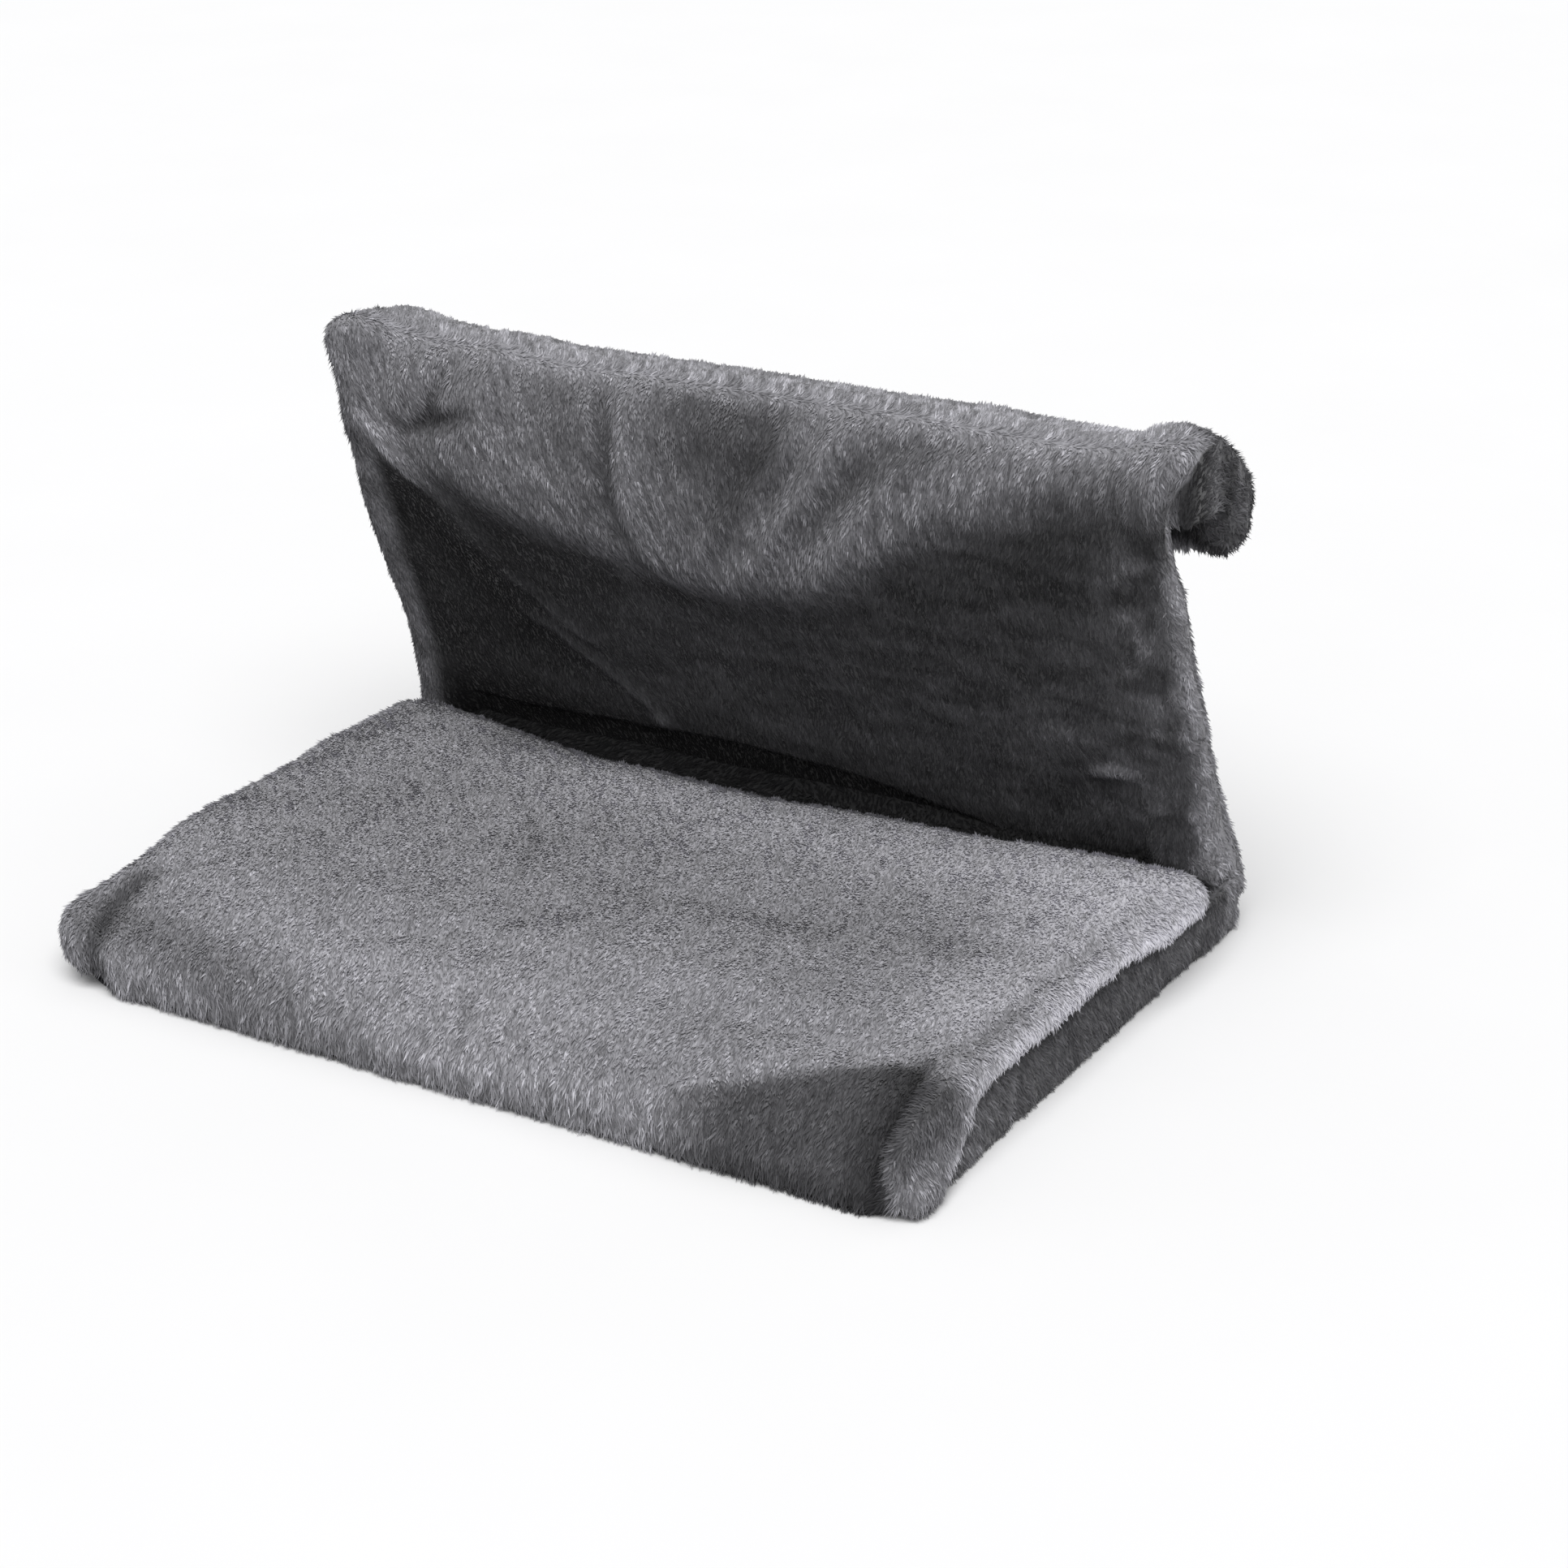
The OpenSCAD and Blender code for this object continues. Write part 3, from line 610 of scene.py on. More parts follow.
def build_back():
    xs = np.linspace(-226.5, 226.5, 114)
    ss = np.concatenate([np.linspace(LOW_S, 52, 25), [54.2, 55.4, 56.3, 57.4, 60, 62, 64, 66.6, 67.7, 68.6, 69.8],
                         np.linspace(72, CROWN_S, 26), np.linspace(CROWN_S, TIP_S, 32)[1:]])
    ns = np.linspace(-1, 1, 6)
    ijk, quads = box_grid(len(xs) - 1, len(ss) - 1, len(ns) - 1)
    f = np.stack([xs[ijk[:, 0]], ss[ijk[:, 1]], ns[ijk[:, 2]] * 8.0], 1)
    lo, hi = np.array([xs[0], ss[0], -8.0]), np.array([xs[-1], ss[-1], 8.0])
    f = round_slab(f, lo, hi, 7.5, 7.5, (12, 12, 9, 9))
    held = np.where(np.abs(f[:, 0]) > 219, 0.35, 0.0)
    held = np.where((np.abs(f[:, 1] - ZIP_S) < 9) & (f[:, 2] > 0), 1.0, held)
    held = np.where((f[:, 1] > 250) | (f[:, 1] < -30), 0.35, held)
    f = inflate(f, quads, held, 2.0, 1.4)
    # faces to their distances from the tube
    front, rear = back_thickness(f[:, 0], f[:, 1])
    g = f[:, 2] / 8.0
    f[:, 2] = np.where(g < 0, g * front, g * rear)
    # the crown's left end is pinched up into a sharp fold
    rise = ear_rise(f[:, 0], f[:, 1])
    rise = np.where(f[:, 0] < 0, rise * smooth(-g, -0.9, 0.2) + 6.5 * np.clip(rise / 8, 0, 1) * (1 - np.abs(g)) * smooth(f[:, 0], -214, -223), rise * np.clip(-g, 0, 1))
    f[:, 2] -= rise
    f[:, 0] += np.where(f[:, 0] > 0, 3.5, -0.4) * np.clip(rise / 12, 0, 1) * np.clip(-g, 0, 1)
    # drawn in under the hook at the right, and standing out at the crown and the hook
    out = table(f[:, 1], SIDE_S, SIDE_OUT)
    f[:, 0] += smooth(f[:, 0], 150, 222) * out + smooth(f[:, 0], -150, -222) * -0.6 * np.maximum(out, 0) * smooth(f[:, 1], 215, 235)
    f[:, 0] += 4.0 * smooth(f[:, 0], -192, -222) * smooth(f[:, 1], 150, 182) * (1 - smooth(f[:, 1], 212, 232))
    f[:, 0] += np.sign(f[:, 0]) * 3.0 * smooth(np.abs(f[:, 0]), 190, 222) * smooth(f[:, 1], 4, -16)
    f[:, 1] -= 3.0 * smooth(f[:, 0], 200, 222) * smooth(f[:, 1], 264, TIP_S)
    # the tip leans in towards the slot
    f[:, 1] += smooth(f[:, 1], 268, TIP_S) * np.clip(g, -1, 1) * 3.0
    f, quads = subdivide(f, quads)
    x, s, n = f.T
    frontness = smooth(-n, 1.0, 6.0)
    rearness = smooth(n, 1.0, 5.0)
    inset = 1 - 0.75 * smooth(np.abs(x), 205, 226)
    push = back_folds(f) * inset
    f[:, 2] -= frontness * push
    # low part of the rear sags back over the fold
    slack = 0.9 * noise(f, (55, 40, 60), 31) + 0.5 * noise(f, (22, 18, 30), 32)
    zip_near = bump(s, ZIP_S, 26)
    f[:, 2] += rearness * slack * (1 - zip_near) * inset
    in_slot = smooth(np.abs(s - ZIP_S), 6.2, 5.2) * smooth(np.abs(x), ZIP_X + 1, ZIP_X - 1)
    lip = np.exp(-((np.abs(s - ZIP_S) - 7.6) / 1.4) ** 2) * smooth(np.abs(x), ZIP_X + 4, ZIP_X)
    f[:, 2] = np.where(n > 2, f[:, 2] + lip * 0.9 - in_slot * np.maximum(f[:, 2] - 5.6, 0), f[:, 2])
    # the slack bulge of the cover behind the fold, and its pull at the sides
    f[:, 2] += rearness * 3.5 * bump(s, -30, 20) * (0.8 + 0.4 * noise(f, (45, 60, 60), 33))
    # puckers of the hook and of both side edges
    f[:, 2] -= frontness * smooth(s, 225, 255) * (0.9 * noise(f, (40, 22, 40), 34) + 0.5 * noise(f, (16, 12, 16), 35))
    edge = smooth(np.abs(x), 214, 224)
    f[:, 0] += np.sign(x) * edge * (0.8 * noise(f, (60, 30, 60), 36) + 0.4 * noise(f, (60, 12, 30), 37))
    # the crown hangs between the frame's arms
    sag = table(f[:, 0], CROWN_X, CROWN_DROP) * smooth(f[:, 1], CROWN_S - 34, CROWN_S + 8) * (1 - smooth(f[:, 1], CROWN_S + 56, CROWN_S + 84))
    # the cloth lies over the frame's arms, not through them
    arm = smooth(np.abs(f[:, 0]), 198, 204) * smooth(np.abs(f[:, 0]), 221, 217) * smooth(s, 14, 30) * smooth(s, 290, 270)
    depth = f[:, 2] + sag
    depth += arm * np.where(n < -3, np.minimum(-6.4 - depth, 0), np.where(n > 3, np.maximum(6.4 - depth, 0), 0))
    p = on_back(np.stack([f[:, 0], f[:, 1], depth], 1))
    # at the hook's ends the cloth closes over the top of the slot
    shut = smooth(n, 1, 6) * smooth(np.abs(x), 202, 215) * smooth(s, 150, 178) * (1 - smooth(s, 262, 276))
    p[:, 2] -= 0.93 * shut * np.maximum(p[:, 2] - 212.5, 0)
    quads = quads[:, ::-1]
    p[:, 2] = np.maximum(p[:, 2], 1.2)
    return p, quads, f


# ------------------------------------------------------------------ plush
TINT = np.array([0.985, 0.975, 1.05])


def seat_tone_with_painted_light_and_shade(p):
    """Albedo of the seat's pile: its own tone, lighter towards the right and the rear, with painted shade in its
    creases, hollows, grooves and corners and low along the front roll, and painted highlights on the corner's ridge and
    the side lip.
    """
    x, y, z = p.T
    t = 0.31 + 0.014 * noise(p, (90, 50, 90), 61) + 0.010 * noise(p, (32, 20, 40), 62)
    t = t * (1 + 0.45 * smooth(x, 150, 212) * smooth(y, 60, 100) + 0.33 * smooth(x, 40, 180) * smooth(y, 180, 240) + 0.08 * smooth(y, 190, 250))
    # painted shade on the face at the right corner, whose crease leans outwards to its foot, and along that crease
    x = x - 0.24 * np.maximum(28 - z, 0) * smooth(y, 32, 10) * (x > 150)
    edge = table(x, [95, 111, 140, 163, 182, 204, 213, 218], [-20, 6, 24, 36, 46, 58, 54, 20])
    dark = smooth(x, 90, 150) * smooth(x, 221, 214) * smooth(y, edge + 3, edge - 8)
    t *= 1 - 0.73 * dark
    t *= 1 - 0.66 * near(x, y, [(212, -6), (214, 24), (211, 46), (208, 60)], 5.0)
    t *= 1 - 0.42 * near(x, y, [(203, -6), (205, 24), (203, 50)], 9.0)
    t *= 1 - 0.74 * smooth(x, 213.5, 216.5) * (1 - 0.35 * smooth(x, 225, 230)) * smooth(y, 64, 44) * (0.42 + 0.58 * smooth(z, 12, 31))
    # painted highlight low on the ridge beside the corner's crease
    t = t + (0.24 - t) * near(x, y, [(217, -6), (218.5, 10), (218, 20)], 2.0) * smooth(z, 22, 12) * 0.8
    # painted shade low along the front roll
    t *= 1 - (0.31 + 0.10 * near(x, y, [(-120, 2), (-30, 2)], 24)) * smooth(z, 15, 8) * smooth(y, 22, 8) * smooth(x, 206, 200)
    # painted shade in the dimple at the left corner, and beside it
    t *= 1 - 0.70 * near(x, y, [(-191, -4), (-198, 12), (-205, 30), (-203, 52)], 7.0)
    t *= 1 - 0.16 * near(x, y, [(-204, -4), (-216, 14), (-222, 30)], 8.0)
    # painted shade along the front edge at the left
    t *= 1 - 0.40 * near(x, y, [(-196, 26), (-160, 14), (-110, 3), (-50, -8)], 14) * smooth(z, 8, 16)
    t *= 1 + 0.14 * near(x, y, [(-176, 60), (-140, 46), (-90, 34)], 14)
    t *= 1 + 0.10 * near(x, y, [(-200, 90), (-190, 150)], 26)
    t *= 1 + 0.12 * near(x, y, [(-70, 32), (0, 30), (80, 44)], 18)
    # painted light near the rear of the top, where the back shades the seat
    t *= 1 + 0.24 * near(x, y, [(-60, 225), (40, 220), (150, 215)], 36)
    # painted shade in the creases, in the shallow hollows across the top and on the roll of the rear edge
    for pts in CREASES:
        t *= 1 - 0.3 * near(x, y, pts, 2.4)
    for pts, width, depth in (([(10, 128), (60, 140), (130, 150), (190, 168)], 17, 0.13), ([(-176, 160), (-150, 170)], 26, 0.10),
                              ([(-60, 70), (-10, 100), (10, 112)], 5, 0.06), ([(-150, 262), (-60, 262), (30, 262)], 9, 0.12)):
        t *= 1 - depth * near(x, y, pts, width)
    t *= 1 + 0.10 * near(x, y, [(150, 48), (180, 58), (200, 66)], 9)
    # painted shade in the groove behind the lip at the front right
    t *= 1 - 0.30 * near(x, y, [(214, 74), (217, 96), (219, 118)], 6.5) * (z > 30)
    # the lip over the side seam catches the light, as a painted highlight, and painted shade lies in the groove inside
    # it
    seam = table(y, SEAM_Y, SEAM_Z)
    t *= 1 + 0.75 * smooth(np.abs(x), 217, 224) * np.exp(-((z - seam - 2.5) / 3.0) ** 2) * smooth(y, 16, 34)
    t *= 1 - 0.30 * near(x, y, [(216, 92), (215, 150), (217, 200), (219, 244)], 4.0) * (1 + 0.6 * noise(p, (300, 16, 300), 15))
    return t


def back_tone_with_painted_light_and_shade(f, p):
    """Albedo of the back's pile: painted light where it hangs forward over the swing line, deep painted shade under it,
    painted shade and highlights on its folds, painted shade in the fold behind the seat, inside the hook and on the
    hook's ends, and painted light over the crown.
    """
    x, s, n = f.T
    _, above = cowl(x, s)
    ragged = above + 5 * noise(f, (30, 30, 50), 58) + 3 * noise(f, (11, 8, 20), 59)
    upper = smooth(ragged, -16, 24)
    # painted light above the swing line, and deep painted shade under it, darker still towards the lower left
    t = 0.021 + 0.008 * smooth(x, -100, 40) + 0.004 * smooth(x, 60, 200) + (0.012 * smooth(x, -185, -55) - 0.005 * bump(x, 95, 75)) * smooth(s, 112, 70) - 0.008 * smooth(x, 60, 160) * smooth(s, 100, 140) + (0.142 - 0.022 * bump(x, 20, 110)) * upper + 0.05 * smooth(s, 186, 200)
    t = t * (1 - 0.25 * smooth(x, -60, -175) * (1 - upper))
    t *= 1 + 0.08 * noise(f, (50, 30, 50), 63) + 0.06 * noise(f, (20, 14, 20), 64)
    streak = (0.34 * noise(f, (26, 5.0, 30), 68) + 0.30 * noise(f, (9, 3.2, 20), 69)) * (1 - upper) * (0.5 + 0.5 * smooth(x, -80, 120))
    t *= 1 + streak
    # painted shade in the folds' valleys and painted highlights on their ridges
    fade = 1 - smooth(s, 196, 212)
    for pts, width, _, share in FOLDS:
        t *= 1 + share * fold_shape(x, s, pts, width * 1.05) * fade
    # under the seat's level the cloth is in the fold, and carries painted shade there, deepest below the line where it
    # turns under
    hem = s - table(x, HEM_X, HEM_S) + 1.5 * noise(f, (18, 30, 30), 78)
    t *= 1 - (0.22 + 0.16 * smooth(x, -40, -140)) * smooth(hem, 24, 4) * (1 - smooth(np.abs(x), 196, 212))
    t *= 1 - 0.70 * smooth(hem, 1.6, -1.6) * (1 - smooth(np.abs(x), 188, 206))
    side_l = smooth(x, -202, -213) * (1 - smooth(s, 205, 225))
    side_r = smooth(x + 3 * noise(f, (30, 12, 30), 76), 216, 226) * (1 - smooth(s, 205, 225))
    t = t + (0.125 + 0.06 * noise(f, (14, 10, 20), 55) - t) * side_l * smooth(s, 184, 162) * 0.8
    mottle = 0.5 + 0.5 * noise(f, (12, 9, 20), 57) + 0.3 * noise(f, (5, 4, 9), 56)
    t = t + 0.055 * smooth(x, 168, 210) * smooth(above, 4, -16) * (1 - 0.45 * smooth(s, 110, 60)) * np.clip(1.5 * mottle - 0.45, 0, 1.2) * (n < 0)
    t = t + (0.23 * (1 + 0.2 * noise(f, (14, 9, 20), 77)) - t) * side_r * smooth(s, 176, 150)
    t = t + (0.21 - t) * smooth(s, 176, 190) * (1 - smooth(s, 205, 225)) * 0.3
    t = np.where(n > 0, 0.19 + 0.02 * noise(f, (50, 30, 50), 65), t)
    # behind the fold, where the right end bulges out
    t = np.where(s < -4, t + (0.22 - t) * smooth(np.abs(x), 214, 222), t)
    # painted light on the front beyond the crown's crest, where it turns away from the lamp
    t = np.where(n < 0, t * (1 + 0.35 * smooth(s, 190, 206) * (1 - smooth(s, 236, 256))), t)
    # painted shade inside the hook, and on its closed ends a painted shade that is mottled
    t = np.where((n > 0) & (s > 176), t + (0.028 - t) * smooth(s, 176, 196) * (1 - smooth(s, 284, 292)), t)
    end = smooth(np.abs(x), 211, 219) * smooth(s, 205, 220)
    t = t + (0.076 * (1 + 0.62 * noise(f, (9, 9, 9), 70) + 0.42 * noise(f, (4, 4, 4), 74)) - t) * end
    return t


def plush_material(name, scale=1.0):
    """Base cloth under the pile: the tone attribute, broken up by fine streaks, with bump and sheen."""
    m = bpy.data.materials.new(name)
    m.use_nodes = True
    nt = m.node_tree
    nodes, link = nt.nodes, nt.links.new
    b = nodes["Principled BSDF"]
    b.inputs["Roughness"].default_value = 0.95
    b.inputs["Sheen Weight"].default_value = 0.25
    b.inputs["Sheen Roughness"].default_value = 0.6
    b.inputs["Specular IOR Level"].default_value = 0.15
    tone = nodes.new("ShaderNodeAttribute")
    tone.attribute_name = "tone"
    geo = nodes.new("ShaderNodeTexCoord")
    mapping = nodes.new("ShaderNodeMapping")
    mapping.inputs["Scale"].default_value = (900, 380, 620)
    mapping.inputs["Rotation"].default_value = (0.1, 0.0, 0.35)
    link(geo.outputs["Object"], mapping.inputs["Vector"])
    fine = nodes.new("ShaderNodeTexNoise")
    fine.inputs["Scale"].default_value = 1.0
    fine.inputs["Detail"].default_value = 4.0
    fine.inputs["Roughness"].default_value = 0.65
    link(mapping.outputs["Vector"], fine.inputs["Vector"])
    clump = nodes.new("ShaderNodeTexNoise")
    clump.inputs["Scale"].default_value = 160
    clump.inputs["Detail"].default_value = 3.0
    link(geo.outputs["Object"], clump.inputs["Vector"])
    both = nodes.new("ShaderNodeMath")
    both.operation = "MULTIPLY_ADD"
    both.inputs[1].default_value = 0.45
    link(clump.outputs["Fac"], both.inputs[0])
    link(fine.outputs["Fac"], both.inputs[2])
    gain = nodes.new("ShaderNodeMapRange")
    gain.inputs["From Min"].default_value = 0.4
    gain.inputs["From Max"].default_value = 1.05
    gain.inputs["To Min"].default_value = 0.72
    gain.inputs["To Max"].default_value = 1.2
    link(both.outputs[0], gain.inputs["Value"])
    mul = nodes.new("ShaderNodeMath")
    mul.operation = "MULTIPLY"
    link(tone.outputs["Fac"], mul.inputs[0])
    link(gain.outputs["Result"], mul.inputs[1])
    colour = nodes.new("ShaderNodeCombineColor")
    for i in range(3):
        k = nodes.new("ShaderNodeMath")
        k.operation = "MULTIPLY"
        k.inputs[1].default_value = float(TINT[i]) * scale
        link(mul.outputs[0], k.inputs[0])
        link(k.outputs[0], colour.inputs[i])
    link(colour.outputs["Color"], b.inputs["Base Color"])
    bmp = nodes.new("ShaderNodeBump")
    bmp.inputs["Strength"].default_value = 0.6
    bmp.inputs["Distance"].default_value = 0.0006
    link(both.outputs[0], bmp.inputs["Height"])
    link(bmp.outputs["Normal"], b.inputs["Normal"])
    return m


TONES = np.geomspace(0.009, 0.6, 30)


def pile_material(i):
    name = "pile_%02d" % i
    m = bpy.data.materials.get(name)
    if m:
        return m
    m = bpy.data.materials.new(name)
    m.use_nodes = True
    b = m.node_tree.nodes["Principled BSDF"]
    c = TONES[i] * TINT
    b.inputs["Base Color"].default_value = (float(c[0]), float(c[1]), float(c[2]), 1)
    b.inputs["Roughness"].default_value = 0.75
    b.inputs["Specular IOR Level"].default_value = 0.10 + 0.15 * min(1.0, TONES[i] / 0.15)
    b.inputs["Sheen Weight"].default_value = 0.03 + 0.27 * min(1.0, TONES[i] / 0.15)
    b.inputs["Sheen Roughness"].default_value = 0.5
    m.diffuse_color = (float(c[0]), float(c[1]), float(c[2]), 1)
    return m


def pile(name, p, quads, tone, nap, seed, spacing, width, keep=None):
    """Tufts of the pile as small closed blades, rooted in the cloth, each with its own tone.

    nap holds, for each point of the cloth, the direction that the tufts lie in, their length, their lift off the
    cloth, how far they stray and a place (across the nap, along it, depth); keep is the share of them that is there."""
    rng = np.random.default_rng(seed)
    lie, length, lift, stray, grain = nap
    c = p[quads]
    cross = np.cross(c[:, 2] - c[:, 0], c[:, 3] - c[:, 1])
    want = np.linalg.norm(cross, axis=1) / 2 / spacing**2
    if keep is not None:
        want = want * keep[quads].mean(1)
    count = np.floor(want + rng.random(len(want))).astype(int)
    face = np.repeat(np.arange(len(quads)), count)
    n = len(face)
    u, v = rng.random(n), rng.random(n)
    w = np.stack([(1 - u) * (1 - v), u * (1 - v), u * v, (1 - u) * v], 1)
    corner = quads[face]
    at = lambda values: (values[corner] * (w[:, :, None] if values.ndim > 1 else w)).sum(1)
    unit = lambda q: q / np.maximum(np.linalg.norm(q, axis=1, keepdims=True), 1e-9)
    root = at(p)
    normal = unit(at(NORMALS[id(p)][1]))
    along = at(lie)
    along = unit(along - normal * (along * normal).sum(1, keepdims=True))
    across = np.cross(normal, along)
    strand = noise(at(grain), (1.9, 8.0, 8.0), seed + 5)
    turn = at(stray) * (rng.normal(size=n) * 0.6 + 0.9 * noise(root, 6.0, seed + 1) + 0.6 * noise(root, 22.0, seed + 2))
    a2 = along * np.cos(turn)[:, None] + across * np.sin(turn)[:, None]
    b2 = np.cross(normal, a2)
    up = np.clip(at(lift) * (1 + 0.4 * rng.normal(size=n) + 1.3 * strand), 0.06, 1.3)
    reach = at(length) * (0.75 + 0.5 * rng.random(n)) * (1 + 0.2 * noise(root, 9.0, seed + 4))
    half = (width * (0.7 + 0.6 * rng.random(n)) / 2)[:, None]
    tip = root + reach[:, None] * (a2 * np.cos(up)[:, None] + normal * np.sin(up)[:, None]) + b2 * (0.3 * rng.normal(size=n))[:, None]
    low = root - 0.12 * normal
    v0, v1 = low - b2 * half, low + b2 * half
    v2 = root + normal * (0.08 + 0.3 * half) - a2 * 0.25
    verts = np.stack([v0, v1, v2, tip], 1).reshape(-1, 3)
    verts[:, 2] = np.maximum(verts[:, 2], 0.1)
    k = np.arange(n)[:, None] * 4
    faces = np.concatenate([k + [0, 2, 1], k + [0, 1, 3], k + [1, 2, 3], k + [2, 0, 3]])
    ob = mesh_object(name, metres(verts), faces, False)
    # dark pile shows less contrast between its strands than light pile
    t = at(tone)
    k = 0.68 + 0.42 * smooth(t, 0.03, 0.16)
    t = t * np.exp(k * (0.26 * rng.normal(size=n) + 0.62 * strand + 0.10 * noise(root, 3.0, seed + 6)) - 0.05 * k * k)
    level = np.clip(np.round(np.interp(np.log(np.maximum(t, 1e-3)), np.log(TONES), np.arange(len(TONES)))), 0, len(TONES) - 1).astype(int)
    used = np.unique(level)
    for i in used:
        ob.data.materials.append(pile_material(int(i)))
    slot = np.searchsorted(used, level).astype(np.int32)
    ob.data.polygons.foreach_set("material_index", np.tile(slot, 4))
    ob.data.update()
    return ob


def set_tone(ob, tone):
    at = ob.data.attributes.new("tone", "FLOAT", "POINT")
    at.data.foreach_set("value", np.asarray(tone, np.float32))


FOLD = dict(start=metres((0, 303.9 + 7, 50 - 17)), end=metres((0, 303.9 - 7, 50 + 17)))
NORMALS = {}


def part_of(quads, keep):
    """The quads that keep says, by their vertices."""
    return quads[keep[quads].mean(1) > 0.5]


def add_pile(name, p, quads, tone, nap, seed, body=None, spacing=1.3, width=1.25, keep=None):
    """The pile of one piece of cloth, in pieces of at most some 45,000 tufts side by side along x."""
    if id(p) not in NORMALS:
        NORMALS[id(p)] = (p, vertex_normals(p, quads))
    c = p[quads]
    area = np.linalg.norm(np.cross(c[:, 2] - c[:, 0], c[:, 3] - c[:, 1]), axis=1) / 2
    if keep is not None:
        area = area * keep[quads].mean(1)
    parts = int(math.ceil(area.sum() / spacing**2 / 45000))
    order = np.argsort(c[:, :, 0].mean(1), kind="stable")
    share = np.searchsorted(np.linspace(0, area.sum(), parts + 1)[1:-1], np.cumsum(area[order]))
    for k in range(parts):
        ob = pile(name + ("_%d" % (k + 1) if parts > 1 else ""), p, quads[order[share == k]], tone, nap, seed + 1000 * k, spacing, width, keep)
        if body:
            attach(ob, body)
        else:
            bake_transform(ob)


# ---- seat cushion, its side bands and its rear skirt
seat_p, seat_q = build_seat()
seat_t = seat_tone_with_painted_light_and_shade(seat_p)
seat = mesh_object("seat_cushion", metres(seat_p), seat_q)
set_tone(seat, seat_t)
seat.data.materials.append(plush_material("plush_seat"))
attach(seat, "seat")
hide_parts("seat_top_panel", "seat_pad")


def seat_nap(p):
    x, y, z = p.T
    d = np.zeros_like(p)
    k = 0.55 - 0.0012 * x
    d[:, 0] = k + 0.10 * noise(p, 60.0, 71)
    d[:, 1] = -1.0
    d[:, 2] = -1.3 * smooth(z, 30, 14)
    d[:, 0] += 0.7 * np.sign(x) * smooth(np.abs(x), 208, 224)
    d[:, 2] -= 0.8 * smooth(np.abs(x), 214, 224)
    # the ridge at the right corner is brushed towards the crease
    corner = smooth(x, 212, 217) * smooth(y, 58, 36)
    d[:, 0] -= 3.0 * corner * smooth(x, 227, 220)
    rim = np.maximum(smooth(y, 40, 10), smooth(np.abs(x), 212, 224))
    low = smooth(z, 14, 5)
    length = 3.2 + 0.6 * rim + 0.8 * low * (np.abs(x) < 212)
    lift = 0.27 + 0.05 * rim + 0.10 * low + 0.05 * corner
    stray = 0.14 + 0.26 * rim
    return d, length, lift, stray, np.stack([x + k * y, y + z, 0 * x], 1)


NORMALS[id(seat_p)] = (seat_p, vertex_normals(seat_p, seat_q))
above_seam = np.where((np.abs(seat_p[:, 0]) > 212) & (seat_p[:, 1] > 32), smooth(seat_p[:, 2], table(seat_p[:, 1], SEAM_Y, SEAM_Z) - 1.0, table(seat_p[:, 1], SEAM_Y, SEAM_Z) + 1.0), 1.0)
add_pile("seat_pile", seat_p, part_of(seat_q, (seat_p[:, 2] > 1.5) & (seat_p[:, 1] < 293)), seat_t, seat_nap(seat_p), 101, body="seat",
         spacing=1.14, width=1.15, keep=above_seam)


def down_nap(p, sign=0.0, length=3.4, lift=0.3):
    one = np.ones(len(p))
    return np.stack([0.2 * sign * one, 0.3 * one, -one], 1), length * one, lift * one, 0.3 * one, np.stack([p[:, 1] + 0.3 * p[:, 2], p[:, 2], p[:, 0]], 1)


for side, sign in (("right", 1), ("left", -1)):
    bp, bq = build_band(sign)
    seam = table(bp[:, 1], SEAM_Y, SEAM_Z)
    # painted shadow under the seam's lip at the top of the band, and lighter towards the front
    bt = (0.082 - 0.032 * smooth(bp[:, 2], seam - 9, seam - 1)) * (1 + 0.15 * noise(bp, (30, 24, 20), 66)) * (1 + 0.34 * smooth(bp[:, 1], 112, 60))
    # a painted highlight along the band's pucker
    bt = bt * (1 + 0.7 * near(bp[:, 1], bp[:, 2], [(92, 2), (97, 14), (101, 26)], 1.6))
    bt = bt + (0.17 - bt) * smooth(bp[:, 1], 293, 300)
    band = mesh_object("seat_band_" + side, metres(bp), bq)
    set_tone(band, bt)
    band.data.materials.append(bpy.data.materials["plush_seat"])
    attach(band, "seat")
    if sign > 0:
        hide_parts("seat_side_band")
    add_pile("band_pile_" + side, bp, part_of(bq, np.abs(bp[:, 0]) > 223.4), bt, down_nap(bp), 110 + sign,
             body="seat", spacing=1.4, width=1.2)


# ---- the woven underside, turned in all round and stitched
def build_underside():
    nx, ny = 112, 78
    ijk, quads = box_grid(nx, ny, 1)
    lo, hi = np.array([-223.5, 5.5, 0.05]), np.array([223.5, 317.0, 1.5])
    p = lo + (hi - lo) * ijk / np.array([nx, ny, 1])
    p = round_slab(p, lo, hi, 0.5, 0.5, (44, 12, 8, 8))
    p, quads = subdivide(p, quads)
    x, y, z = p.T.copy()
    p[:, 0] += smooth(y, 24, 60) * (3.4 * smooth(x, 190, 223) - 1.2 * smooth(x, -190, -223))
    rim = np.minimum(223.5 - np.abs(x), np.minimum(y - 5.5, 317.0 - y))
    low = z < 0.8
    d = 0.35 * noise(p, (60, 50, 50), 55) * smooth(rim, 4, 20)
    d += 0.5 * np.exp(-((rim - 9.0) / 1.0) ** 2) - 0.25 * smooth(rim, 10, 8)
    p[:, 2] = np.where(low, np.maximum(z + np.maximum(d, 0), 0.0), z)
    return p, quads


